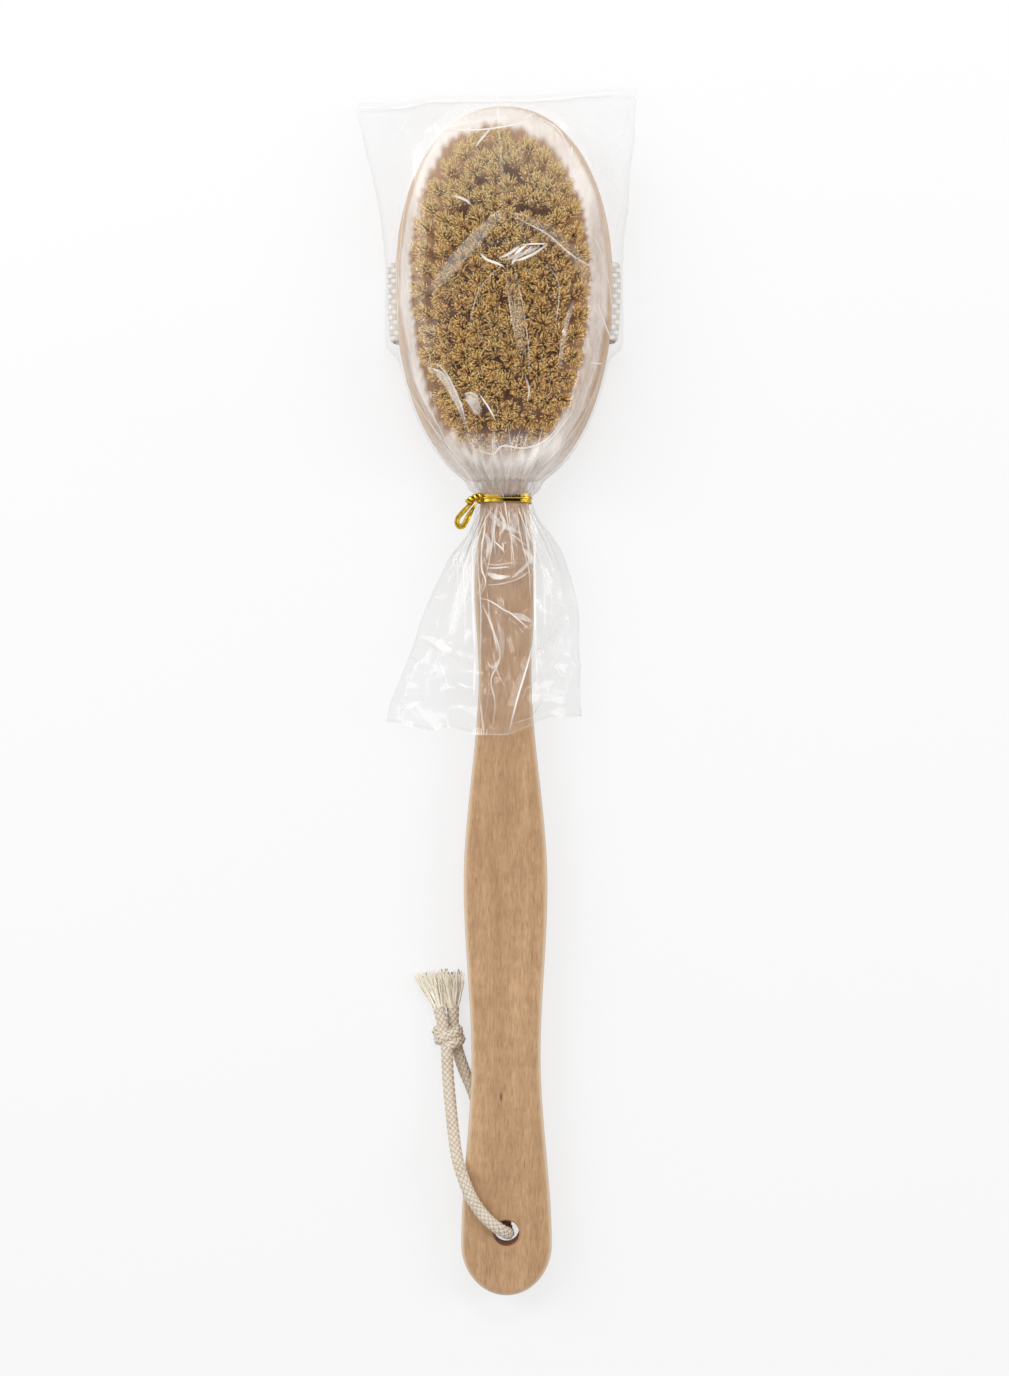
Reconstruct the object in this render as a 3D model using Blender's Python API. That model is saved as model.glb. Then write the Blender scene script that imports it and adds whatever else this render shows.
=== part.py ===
# Long-handled wooden bath brush lying on its back, bristles up, in its tied film bag.
# Metres. +Z is up, +Y runs from the handle's end to the head, and the cord lies on the -X side.
# The origin is on the surface that it lies on, halfway along its length.

import math
import random

import bmesh
import bpy
import numpy as np
from mathutils import Vector
from mathutils.geometry import delaunay_2d_cdt

# Fits
CLEARANCE = 0.0003  # between pieces that touch
FILM = 0.0002  # the bag's film
SOCKET_SLACK = 0.0015  # room past the end of the tongue in its socket

# Head: an egg, widest above its middle, cut square where the handle meets it
HEAD_LENGTH = 0.1319
HEAD_HALF_WIDTH = 0.0385
HEAD_TOP_RISE = 0.0634  # from the widest line to the top
HEAD_END_CUT = 0.0027  # what the square cut takes off the egg's lower end
HEAD_TOP_POWER = 2.15
HEAD_BELLY_POWER = 2.1
HEAD_THICKNESS = 0.015
FRONT_ROUNDING = 0.0034
BACK_ROUNDING = 0.0036
EDGE_STEPS = 3
HEAD_POINTS = 56

# Bristles, set in a thin slice of wood for each row, which fill a recess in the head's face
BACKING = 0.0021
RECESS_INSET = 0.008  # from the head's outline to the recess
ROWS_EACH_SIDE = 5
TUFT_PITCH = 0.0074
TUFT_INSET = 0.0126  # from the head's outline to the outermost tufts
OUTER_ROW_SETBACK = 0.0007  # the outermost row's middle, inside that line
STRANDS_PER_TUFT = 4
BRISTLE_LENGTH = 0.0175
STRAND_ROOT_RADIUS = 0.00055
STRAND_TIP_RADIUS = 0.00034
TUFT_ROOT_RADIUS = 0.0011
TUFT_TIP_RADIUS = 0.0024
SIDE_LEAN = 0.06  # how far the tips spread outward, as a share of the way from the centre
END_LEAN = 0.02
LENGTH_SPREAD = 0.0006

# Hand strap of webbing across the back, its ends in slots in the head's sides
STRAP_THICKNESS = 0.002
STRAP_WIDTH = 0.0275
STRAP_ABOVE_WIDEST = -0.0055  # the strap's middle, from the head's widest line
STRAP_SLACK = 0.0031  # how far it stands out past the head's side
STRAP_TUCK = 0.0066  # how far an end goes into the head's side
SLOT_BELOW_FACE = 0.0033
STRAP_TOP_BEND = 0.0024
STRAP_BOTTOM_BEND = 0.0064
PIN_RADIUS = 0.0009
PIN_INSET = 0.0045  # from the head's side to a pin
PIN_SPACING = 0.016
PIN_RECESS = 0.0006
PIN_BITE = 0.0012  # how far a pin goes past the slot

# Handle: a flat wavy bar. Each place is measured from the handle's end.
HANDLE_LENGTH = 0.2877
HANDLE_THICKNESS = 0.011
HANDLE_REST = 0.005  # its back above the surface, which leaves the cord room under it
HANDLE_ROUNDING = 0.002
END_CURVE = 0.018
END_HALF_WIDTH = 0.016
WAIST_PLACE = 0.084
WAIST_HALF_WIDTH = 0.0122
GRIP_PLACE = 0.145
GRIP_HALF_WIDTH = 0.0148
SLIM_PLACE = 0.220
SLIM_HALF_WIDTH = 0.0093
SWELL_PLACE = 0.251
SWELL_HALF_WIDTH = 0.0107
SHOULDER_HALF_WIDTH = 0.0082
SIDE_STEP = 0.009
END_STEPS = 9
TONGUE_LENGTH = 0.036
TONGUE_WIDTH = 0.011
TONGUE_THICKNESS = 0.0054
TONGUE_DROP = 0.0013  # the tongue's middle below the handle's
HOLE_RADIUS = 0.0045
HOLE_PLACE = 0.0222
HOLE_CHAMFER = 0.001
HOLE_SIDES = 32

# Hanging cord
CORD_DIAMETER = 0.0045
CORD_STEP = 0.003
KNOT_CENTRE = (-0.0204, 0.0905, 0.0048)  # the middle number is from the handle's end
KNOT_TILT = 8  # degrees, about +Z
KNOT_WRAP_RADIUS = 0.0029
KNOT_WRAP_FLATNESS = 0.84  # its height as a share of its width
KNOT_WRAP_OFFSET = 0.0024  # of each of the two wraps from the knot's middle
KNOT_CORE_END = 0.7  # the width of the core's ends as a share of its middle's

# Film bag, tied round the neck of the handle
BAG_OVERHANG = 0.0051  # the seam past the head's top
SEAM_HALF_WIDTH = 0.050
SEAM_HEIGHT = 0.009
SEAM_LENGTH = 0.003
BAG_SIDE_HEIGHT = 0.0125  # where the film is widest
BAG_CORNER = 0.0045  # its lower corners, at most
CORNER_SHARE = 0.22  # its lower corners as a share of its half width, where that is less
CORNER_RISE = 1.2  # how tall they are for their width
CORNER_TOP = 0.85  # as a share of the height where the film is widest, at most
BAG_CREASE = 0.0025  # its upper corners, at most
SEAM_FLARE = 1.3  # above 1, it widens late
SKIRT_LENGTH = 0.0845  # below the tie
SKIRT_LEFT = 0.0405
SKIRT_RIGHT = 0.026
SKIRT_TOP = 0.0205
SKIRT_FLARE = 2.4  # above 1, it widens early
SKIRT_RIGHT_FLARE = 1.15  # how much sooner the right side does
SKIRT_DROP = 1.6  # how much sooner its bottom comes down to the surface
CROWN_INSET = 0.0062  # from the head's side to where the film turns over the bristles
STRAP_FAIRING = 1.2  # how fast the film leaves the strap for the head's side, below it
CHORD_ROOM = 0.0004  # for the flat stretches between the film's sections
SKIRT_STEPS = 7
BELLY_STEPS = 12
SEAM_STEPS = 9
TIE_WIDTH = 0.0034
TIE_THICKNESS = 0.0005
TIE_BELOW_HEAD = 0.0047  # from the head's end to the tie's near edge
TIE_BEAD = 0.0016  # radius of its twisted knot
TIE_WIRE = 0.0011
TIE_LOOP = 0.012  # how far the folded end reaches from the knot

# Places that follow from the sizes above
WHOLE_LENGTH = HANDLE_LENGTH + CLEARANCE + HEAD_LENGTH + BAG_OVERHANG
END_Y = -WHOLE_LENGTH / 2
HEAD_END_Y = END_Y + HANDLE_LENGTH + CLEARANCE
HEAD_TOP_Y = HEAD_END_Y + HEAD_LENGTH
WIDEST_Y = HEAD_TOP_Y - HEAD_TOP_RISE
HEAD_BELLY_DROP = HEAD_LENGTH - HEAD_TOP_RISE + HEAD_END_CUT  # to where the egg would close
ROW_PITCH = (HEAD_HALF_WIDTH - TUFT_INSET - OUTER_ROW_SETBACK) / (ROWS_EACH_SIDE - 0.5)
STRAP_HALF_SPAN = HEAD_HALF_WIDTH + STRAP_SLACK
STRAP_Z = FILM + CLEARANCE + STRAP_THICKNESS / 2
HEAD_BACK_Z = STRAP_Z + STRAP_THICKNESS / 2 + CLEARANCE
HEAD_FACE_Z = HEAD_BACK_Z + HEAD_THICKNESS
TIPS_Z = HEAD_FACE_Z + BRISTLE_LENGTH
STRAP_Y = WIDEST_Y + STRAP_ABOVE_WIDEST
SLOT_Z = HEAD_FACE_Z - SLOT_BELOW_FACE
HANDLE_Z = HANDLE_REST + HANDLE_THICKNESS / 2
TONGUE_Z = HANDLE_Z - TONGUE_DROP
TIE_TOP_Y = HEAD_END_Y - TIE_BELOW_HEAD
TIE_BOTTOM_Y = TIE_TOP_Y - TIE_WIDTH
TIP_REACH = TUFT_TIP_RADIUS + STRAND_TIP_RADIUS
LOWEST_TIP_Y = WIDEST_Y - (HEAD_BELLY_DROP - TUFT_INSET) * (1 + END_LEAN) - TIP_REACH
HIGHEST_TIP_Y = WIDEST_Y + (HEAD_TOP_RISE - TUFT_INSET) * (1 + END_LEAN) + TIP_REACH

chance = random.Random(7)


def clear_scene():
    for existing in list(bpy.data.objects):
        bpy.data.objects.remove(existing, do_unlink=True)


def make_material(name, colour, roughness, metallic=0.0, alpha=1.0):
    made = bpy.data.materials.new(name)
    made.use_nodes = True
    shader = made.node_tree.nodes["Principled BSDF"]
    shader.inputs["Base Color"].default_value = (*colour, 1.0)
    shader.inputs["Roughness"].default_value = roughness
    shader.inputs["Metallic"].default_value = metallic
    shader.inputs["Alpha"].default_value = alpha
    return made


def add_object(name, mesh, surface=None):
    made = bpy.data.objects.new(name, mesh)
    bpy.context.collection.objects.link(made)
    if surface is not None:
        mesh.materials.append(surface)
    return made


def make_mesh(name, points, faces, smooth_below=None):
    mesh = bpy.data.meshes.new(name)
    mesh.from_pydata([tuple(p) for p in points], [], faces)
    shape = bmesh.new()
    shape.from_mesh(mesh)
    bmesh.ops.recalc_face_normals(shape, faces=shape.faces)
    shape.to_mesh(mesh)
    shape.free()
    if smooth_below is not None:
        mesh.shade_smooth()
        mesh.set_sharp_from_angle(angle=math.radians(smooth_below))
    return mesh


def bridge(first, second, count):
    # The faces between two rings of points whose first indices are given
    return [
        (first + i, first + (i + 1) % count, second + (i + 1) % count, second + i)
        for i in range(count)
    ]


def make_loft(name, rings, smooth_below=40, cap=None):
    # A closed body through rings of equal count, with a flat cap at both ends. cap gives the
    # faces of the first ring's cap, where it isn't one face.
    count = len(rings[0])
    cap = cap or [tuple(range(count))]
    points = [p for ring in rings for p in ring]
    far = len(points) - count
    faces = cap + [tuple(far + i for i in face) for face in cap]
    for i in range(len(rings) - 1):
        faces += bridge(i * count, (i + 1) * count, count)
    mesh = make_mesh(name, points, faces, smooth_below)
    for i in range(2 * len(cap)):
        mesh.polygons[i].use_smooth = False
    return mesh


def make_shell(name, outer, inner, smooth_below=40):
    # A wall between two lofts, open at both ends
    count = len(outer[0])
    rings = outer + inner[::-1]
    points = [p for ring in rings for p in ring]
    faces = []
    for i in range(len(rings)):
        faces += bridge(i * count, (i + 1) % len(rings) * count, count)
    return make_mesh(name, points, faces, smooth_below)


def add_cutter(name, mesh):
    made = add_object(name, mesh)
    made.hide_render = True
    made.display_type = "WIRE"
    return made


def make_box(low, high, name):
    points = [(x, y, z) for x in (low[0], high[0]) for y in (low[1], high[1]) for z in (low[2], high[2])]
    faces = [(0, 1, 3, 2), (4, 5, 7, 6), (0, 1, 5, 4), (2, 3, 7, 6), (0, 2, 6, 4), (1, 3, 7, 5)]
    return make_mesh(name, points, faces)


def circle(centre, radius, height, sides):
    turns = [2 * math.pi * i / sides for i in range(sides)]
    return [(centre[0] + radius * math.cos(t), centre[1] + radius * math.sin(t), height) for t in turns]


def make_rod(centre, stages, sides, name):
    # A round body along Z, from (height, radius) stages
    return make_loft(name, [circle(centre, radius, height, sides) for height, radius in stages])


def combine(target, other, operation):
    modifier = target.modifiers.new(other.name, "BOOLEAN")
    modifier.object = other
    modifier.operation = operation
    modifier.solver = "EXACT"


def signed_power(value, power):
    return math.copysign(abs(value) ** power, value)


def egg_ring(inset, height, count=HEAD_POINTS):
    ring = []
    for i in range(count):
        turn = 2 * math.pi * (i + 0.5) / count
        above = math.sin(turn) > 0
        power = 2 / (HEAD_TOP_POWER if above else HEAD_BELLY_POWER)
        reach = (HEAD_TOP_RISE if above else HEAD_BELLY_DROP) - inset
        x = (HEAD_HALF_WIDTH - inset) * signed_power(math.cos(turn), power)
        ring.append((x, WIDEST_Y + reach * signed_power(math.sin(turn), power), height))
    return ring


def egg_half_width(y, inset):
    above = y > WIDEST_Y
    power = HEAD_TOP_POWER if above else HEAD_BELLY_POWER
    reach = (HEAD_TOP_RISE if above else HEAD_BELLY_DROP) - inset
    along = min(1.0, abs(y - WIDEST_Y) / reach)
    return (HEAD_HALF_WIDTH - inset) * (1 - along**power) ** (1 / power)


def egg_ends(x, inset):
    # The lowest and highest Y of the egg at x
    across = min(1.0, abs(x) / (HEAD_HALF_WIDTH - inset))
    low = (HEAD_BELLY_DROP - inset) * (1 - across**HEAD_BELLY_POWER) ** (1 / HEAD_BELLY_POWER)
    high = (HEAD_TOP_RISE - inset) * (1 - across**HEAD_TOP_POWER) ** (1 / HEAD_TOP_POWER)
    return WIDEST_Y - low, WIDEST_Y + high


def rounded_edge(edge_z, inward, radius):
    # (height, inset) pairs of a quarter-round edge, from the flat face to the side
    turns = [math.pi / 2 * i / EDGE_STEPS for i in range(EDGE_STEPS + 1)]
    return [(edge_z + inward * radius * (1 - math.cos(t)), radius * (1 - math.sin(t))) for t in turns]


def pin_places():
    x = HEAD_HALF_WIDTH - PIN_INSET
    return [
        (side * x, STRAP_Y + end * PIN_SPACING / 2, f"strap_pin_{across}_{along}")
        for side, across in ((-1, "left"), (1, "right"))
        for end, along in ((-1, "lower"), (1, "upper"))
    ]


def make_head(wood):
    back = rounded_edge(HEAD_BACK_Z, 1, BACK_ROUNDING)
    face = rounded_edge(HEAD_FACE_Z, -1, FRONT_ROUNDING)
    rings = [egg_ring(inset, height) for height, inset in back + face[::-1]]
    head = add_object("head_block", make_loft("head_block", rings), wood)

    beyond = HEAD_HALF_WIDTH + STRAP_THICKNESS
    below = HEAD_END_Y - HEAD_BELLY_DROP
    end_cut = make_box((-beyond, below, -beyond), (beyond, HEAD_END_Y, beyond), "head_end_cut")
    combine(head, add_cutter("head_end_cut", end_cut), "DIFFERENCE")

    half = TONGUE_WIDTH / 2 + CLEARANCE
    tall = TONGUE_THICKNESS / 2 + CLEARANCE
    socket = make_box(
        (-half, HEAD_END_Y - SOCKET_SLACK, TONGUE_Z - tall),
        (half, HEAD_END_Y + TONGUE_LENGTH + SOCKET_SLACK, TONGUE_Z + tall),
        "tongue_socket",
    )
    combine(head, add_cutter("tongue_socket", socket), "DIFFERENCE")

    floor_z = HEAD_FACE_Z - BACKING - CLEARANCE
    recess = [egg_ring(RECESS_INSET, height) for height in (floor_z, HEAD_FACE_Z + BACKING)]
    combine(head, add_cutter("bristle_recess", make_loft("bristle_recess", recess)), "DIFFERENCE")

    tall = STRAP_THICKNESS / 2 + CLEARANCE
    wide = STRAP_WIDTH / 2 + CLEARANCE
    inner = HEAD_HALF_WIDTH - STRAP_TUCK - CLEARANCE
    for side, name in ((-1, "left_slot"), (1, "right_slot")):
        near, far = sorted((side * inner, side * beyond))
        slot = make_box(
            (near, STRAP_Y - wide, SLOT_Z - tall), (far, STRAP_Y + wide, SLOT_Z + tall), name
        )
        combine(head, add_cutter(name, slot), "DIFFERENCE")
    top = SLOT_Z + tall + PIN_BITE + CLEARANCE
    for x, y, name in pin_places():
        stages = ((HEAD_BACK_Z - STRAP_THICKNESS, PIN_RADIUS + CLEARANCE), (top, PIN_RADIUS + CLEARANCE))
        combine(head, add_cutter(name + "_hole", make_rod((x, y), stages, 12, name)), "DIFFERENCE")


def make_pins(steel):
    top = SLOT_Z + STRAP_THICKNESS / 2 + CLEARANCE + PIN_BITE
    for x, y, name in pin_places():
        stages = ((HEAD_BACK_Z + PIN_RECESS, PIN_RADIUS), (top, PIN_RADIUS))
        add_object(name, make_rod((x, y), stages, 12, name), steel)


def strap_side_path():
    # The middle of the webbing at the right side, from its end in the slot to the flat run
    outer = STRAP_HALF_SPAN - STRAP_THICKNESS / 2
    path = [(HEAD_HALF_WIDTH - STRAP_TUCK, SLOT_Z)]
    for i in range(6):
        turn = math.pi / 2 * (1 - i / 5)
        x = outer - STRAP_TOP_BEND * (1 - math.cos(turn))
        path.append((x, SLOT_Z - STRAP_TOP_BEND * (1 - math.sin(turn))))
    for i in range(8):
        turn = -math.pi / 2 * i / 7
        x = outer - STRAP_BOTTOM_BEND * (1 - math.cos(turn))
        path.append((x, STRAP_Z + STRAP_BOTTOM_BEND * (1 + math.sin(turn))))
    return path


def make_strap(webbing):
    side = strap_side_path()
    path = side + [(-x, z) for x, z in side[::-1]]
    points = []
    for i, (x, z) in enumerate(path):
        before, after = path[max(i - 1, 0)], path[min(i + 1, len(path) - 1)]
        along = Vector((after[0] - before[0], after[1] - before[1])).normalized()
        across = Vector((along.y, -along.x)) * STRAP_THICKNESS / 2
        for y in (STRAP_Y - STRAP_WIDTH / 2, STRAP_Y + STRAP_WIDTH / 2):
            points += [(x + across.x, y, z + across.y), (x - across.x, y, z - across.y)]
    faces = [(0, 1, 3, 2), tuple(len(points) - 4 + i for i in (0, 1, 3, 2))]
    for i in range(len(path) - 1):
        a, b = 4 * i, 4 * (i + 1)
        faces += [(a + j, a + k, b + k, b + j) for j, k in ((0, 1), (1, 3), (3, 2), (2, 0))]
    strap = add_object("hand_strap", make_mesh("hand_strap", points, faces, 40), webbing)
    for x, y, name in pin_places():
        stages = [(SLOT_Z + end * STRAP_THICKNESS, PIN_RADIUS + CLEARANCE) for end in (-1, 1)]
        combine(strap, add_cutter(name + "_eye", make_rod((x, y), stages, 12, name)), "DIFFERENCE")


def tufts_of(x):
    # The Y of each tuft in the row at x; rows are staggered by half a pitch
    low, high = egg_ends(x, TUFT_INSET)
    shift = TUFT_PITCH / 2 if round(x / ROW_PITCH - 0.5) % 2 else 0
    first = math.ceil((low - WIDEST_Y - shift) / TUFT_PITCH)
    last = math.floor((high - WIDEST_Y - shift) / TUFT_PITCH)
    return [WIDEST_Y + shift + i * TUFT_PITCH for i in range(first, last + 1)]


def strand(x, y, turn, root_z):
    # The root and tip triangles of one strand
    out = Vector((math.cos(turn), math.sin(turn)))
    lean = Vector((x * SIDE_LEAN, (y - WIDEST_Y) * END_LEAN))
    root = Vector((x, y)) + out * TUFT_ROOT_RADIUS
    tip = Vector((x, y)) + out * TUFT_TIP_RADIUS + lean
    tip_z = root_z + BRISTLE_LENGTH - chance.uniform(0, LENGTH_SPREAD)
    corners = [turn + 2 * math.pi * i / 3 for i in range(3)]
    around = [Vector((math.cos(c), math.sin(c))) for c in corners]
    roots = [root + a * STRAND_ROOT_RADIUS for a in around]
    tips = [(*(tip + a * STRAND_TIP_RADIUS), tip_z) for a in around]
    return roots, tips


def make_row(name, low_x, high_x, bristle):
    # One slice of the backing, between two long sides, with its tufts fused on
    inset = RECESS_INSET + CLEARANCE * 1.5
    outermost = HEAD_HALF_WIDTH - inset
    near, far = sorted((abs(low_x), abs(high_x)))
    steps = 3 if far < outermost - CLEARANCE else 7
    side = 1 if high_x > 0 else -1
    xs = [side * (near + (min(far, outermost) - near) * math.sin(math.pi / 2 * i / (steps - 1)))
          for i in range(steps)]
    lower = [Vector((x, egg_ends(x, inset)[0])) for x in xs]
    upper = [Vector((x, egg_ends(x, inset)[1])) for x in xs]
    outline = lower + [p for p in upper[::-1] if (p - lower[-1]).length > CLEARANCE]
    if side < 0:
        outline.reverse()

    middle = side * (near + ROW_PITCH / 2 - CLEARANCE / 2)
    flat, tips = list(outline), []
    for y in tufts_of(middle):
        start = chance.uniform(0, 2 * math.pi)
        for i in range(STRANDS_PER_TUFT):
            roots, ends = strand(middle, y, start + 2 * math.pi * i / STRANDS_PER_TUFT, HEAD_FACE_Z)
            flat += roots
            tips += ends
    edge = len(outline)
    triangles = [tuple(range(edge + 3 * i, edge + 3 * i + 3)) for i in range(len(tips) // 3)]
    placed, _, made, *_ = delaunay_2d_cdt(flat, [], [tuple(range(edge))] + triangles, 1, 1e-7)
    if len(placed) != len(flat):
        raise ValueError(f"{name}: strands meet the edge of their slice")
    own = {frozenset(t) for t in triangles}
    plate = [tuple(f) for f in made if frozenset(f) not in own]

    floor_z = HEAD_FACE_Z - BACKING
    points = [(p.x, p.y, HEAD_FACE_Z) for p in placed] + tips
    below = len(points)
    points += [(p.x, p.y, floor_z) for p in outline]
    faces = plate + [tuple(range(below, below + edge))]
    faces += [(i, (i + 1) % edge, below + (i + 1) % edge, below + i) for i in range(edge)]
    for root in triangles:
        tip = [i + len(tips) for i in root]
        faces.append(tuple(tip))
        faces += [(root[i], root[(i + 1) % 3], tip[(i + 1) % 3], tip[i]) for i in range(3)]
    add_object(name, make_mesh(name, points, faces), bristle)
    return len(triangles)


def make_bristles(bristle):
    total = 0
    for i in range(-ROWS_EACH_SIDE, ROWS_EACH_SIDE):
        low_x = i * ROW_PITCH + CLEARANCE / 2
        high_x = (i + 1) * ROW_PITCH - CLEARANCE / 2
        if i == -ROWS_EACH_SIDE:
            low_x = -HEAD_HALF_WIDTH
        if i == ROWS_EACH_SIDE - 1:
            high_x = HEAD_HALF_WIDTH
        total += make_row(f"bristle_row_{i + ROWS_EACH_SIDE + 1}", low_x, high_x, bristle)
    print("strands", total)


def handle_half_width(place):
    # Half the handle's width at a distance from its end
    if place < END_CURVE:
        return END_HALF_WIDTH * math.sqrt(max(0.0, 1 - (1 - place / END_CURVE) ** 2))
    turns = (
        (END_CURVE, END_HALF_WIDTH),
        (WAIST_PLACE, WAIST_HALF_WIDTH),
        (GRIP_PLACE, GRIP_HALF_WIDTH),
        (SLIM_PLACE, SLIM_HALF_WIDTH),
        (SWELL_PLACE, SWELL_HALF_WIDTH),
        (HANDLE_LENGTH, SHOULDER_HALF_WIDTH),
    )
    for (start, first), (stop, last) in zip(turns, turns[1:]):
        if place <= stop:
            share = (place - start) / (stop - start)
            return first + (last - first) * share**2 * (3 - 2 * share)
    return SHOULDER_HALF_WIDTH


def handle_side():
    # The right side's points, from the handle's end to its shoulder
    points = []
    for i in range(1, END_STEPS):
        place = END_CURVE * (1 - math.cos(math.pi / 2 * i / END_STEPS))
        points.append((handle_half_width(place), place))
    steps = round((HANDLE_LENGTH - END_CURVE) / SIDE_STEP)
    for i in range(steps + 1):
        place = END_CURVE + (HANDLE_LENGTH - END_CURVE) * i / steps
        points.append((handle_half_width(place), place))
    return points


def inset_ring(outline, inset, height):
    # The closed outline moved inward square to itself, but not past its flat shoulder
    ring = []
    for i, point in enumerate(outline):
        before, after = Vector(outline[i - 1]), Vector(outline[(i + 1) % len(outline)])
        along = (after - before).normalized()
        moved = Vector(point) + Vector((-along.y, along.x)) * inset
        y = min(moved.y, HANDLE_LENGTH)
        if abs(point[1] - HANDLE_LENGTH) < 1e-9:
            moved = Vector((math.copysign(SHOULDER_HALF_WIDTH - inset, point[0]), 0))
            y = HANDLE_LENGTH
        ring.append((moved.x, END_Y + y, height))
    return ring


def make_handle(wood):
    side = handle_side()
    outline = [(0.0, 0.0)] + side + [(-x, y) for x, y in side[::-1]]
    back = rounded_edge(HANDLE_REST, 1, HANDLE_ROUNDING)
    face = rounded_edge(HANDLE_REST + HANDLE_THICKNESS, -1, HANDLE_ROUNDING)
    rings = [inset_ring(outline, inset, height) for height, inset in back + face[::-1]]
    # Each flat side is cut across into short faces, from the outline's first point up.
    count = len(outline)
    strips = [(i, i + 1, count - i - 1, count - i) for i in range(1, count // 2)]
    mesh = make_loft("handle", rings, cap=[(0, 1, count - 1)] + strips)
    handle = add_object("handle", mesh, wood)

    shoulder_y = END_Y + HANDLE_LENGTH
    half, tall = TONGUE_WIDTH / 2, TONGUE_THICKNESS / 2
    tongue = make_box(
        (-half, shoulder_y - HANDLE_ROUNDING, TONGUE_Z - tall),
        (half, shoulder_y + TONGUE_LENGTH, TONGUE_Z + tall),
        "tongue",
    )
    combine(handle, add_cutter("tongue", tongue), "UNION")

    beyond = HOLE_RADIUS + HOLE_CHAMFER + HANDLE_ROUNDING
    top, middle = HANDLE_REST + HANDLE_THICKNESS, (0, END_Y + HOLE_PLACE)
    stages = (
        (HANDLE_REST - HANDLE_ROUNDING, beyond),
        (HANDLE_REST + HOLE_CHAMFER, HOLE_RADIUS),
        (top - HOLE_CHAMFER, HOLE_RADIUS),
        (top + HANDLE_ROUNDING, beyond),
    )
    combine(handle, add_cutter("hole", make_rod(middle, stages, HOLE_SIDES, "hole")), "DIFFERENCE")


def smooth_line(route, step):
    # Evenly spaced points along a smooth curve through the route's own points
    line = [Vector((x, END_Y + y, z)) for x, y, z in route]
    fine = []
    for i in range(len(line) - 1):
        a, b = line[max(i - 1, 0)], line[i]
        c, d = line[i + 1], line[min(i + 2, len(line) - 1)]
        for k in range(12):
            t = k / 12
            fine.append(
                0.5 * (2 * b + (c - a) * t + (2 * a - 5 * b + 4 * c - d) * t**2
                       + (3 * b - a - 3 * c + d) * t**3)
            )
    fine = np.array([*map(tuple, fine), tuple(line[-1])])
    along = np.concatenate([[0], np.cumsum(np.linalg.norm(np.diff(fine, axis=0), axis=1))])
    places = np.linspace(0, along[-1], round(along[-1] / step) + 1)
    return np.stack([np.interp(places, along, fine[:, k]) for k in range(3)], axis=1)


def add_tube(name, line, diameter, surface, resolution=2):
    curve = bpy.data.curves.new(name, "CURVE")
    curve.dimensions = "3D"
    curve.bevel_depth = diameter / 2
    curve.bevel_resolution = resolution
    curve.use_fill_caps = True
    spline = curve.splines.new("POLY")
    spline.points.add(len(line) - 1)
    for point, place in zip(spline.points, line):
        point.co = (*place, 1.0)
    curve.materials.append(surface)
    made = bpy.data.objects.new(name, curve)
    bpy.context.collection.objects.link(made)
    return made


# The cord's route from the knot over the handle's face, down through the hole and back
# under the handle to the knot. Each middle number is measured from the handle's end.
CORD_ROUTE = (
    (-0.0210, 0.0849, 0.0074),
    (-0.0206, 0.0760, 0.0078),
    (-0.0197, 0.0660, 0.0092),
    (-0.0186, 0.0565, 0.0124),
    (-0.0173, 0.0490, 0.0160),
    (-0.0154, 0.0428, 0.0184),
    (-0.0128, 0.0364, 0.0190),
    (-0.0093, 0.0308, 0.0190),
    (-0.0056, 0.0267, 0.0188),
    (-0.0029, 0.0245, 0.0181),
    (-0.0007, 0.0228, 0.0159),
    (0.0005, 0.0217, 0.0127),
    (0.0005, 0.0214, 0.0105),
    (0.0003, 0.0216, 0.0084),
    (-0.0002, 0.0231, 0.0052),
    (-0.0009, 0.0258, 0.0030),
    (-0.0017, 0.0292, 0.0023),
    (-0.0032, 0.0350, 0.00225),
    (-0.0054, 0.0440, 0.00225),
    (-0.0083, 0.0570, 0.00225),
    (-0.0119, 0.0690, 0.00225),
    (-0.0152, 0.0785, 0.00225),
    (-0.0173, 0.0849, 0.00225),
)
LEFT_TAIL_ROUTE = (
    (-0.0228, 0.0962, 0.0060),
    (-0.0237, 0.1010, 0.0048),
    (-0.0247, 0.1070, 0.0031),
    (-0.0256, 0.1130, 0.0024),
)
RIGHT_TAIL_ROUTE = (
    (-0.0180, 0.0962, 0.0029),
    (-0.0176, 0.1010, 0.0025),
    (-0.0174, 0.1070, 0.0023),
    (-0.0172, 0.1140, 0.0023),
)


def least_gap(line, diameter):
    # Between stretches of the cord that lie apart along it
    apart = round(3 * diameter / CORD_STEP)
    gaps = [np.linalg.norm(line[i] - line[i + apart :], axis=1).min() for i in range(len(line) - apart)]
    return min(gaps) - diameter


def ring_mesh(name, radius, thickness, flatness, middle_y):
    # One wrap of the knot: a flattened ring about Y
    rings, sides = 18, 8
    points, faces = [], []
    for i in range(rings):
        turn = 2 * math.pi * i / rings
        for j in range(sides):
            round_it = 2 * math.pi * j / sides
            far = radius + thickness / 2 * math.cos(round_it)
            x, z = far * math.cos(turn), flatness * far * math.sin(turn)
            points.append((x, middle_y + thickness / 2 * math.sin(round_it), z))
        faces += bridge(i * sides, (i + 1) % rings * sides, sides)
    return make_mesh(name, points, faces, 60)


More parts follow.
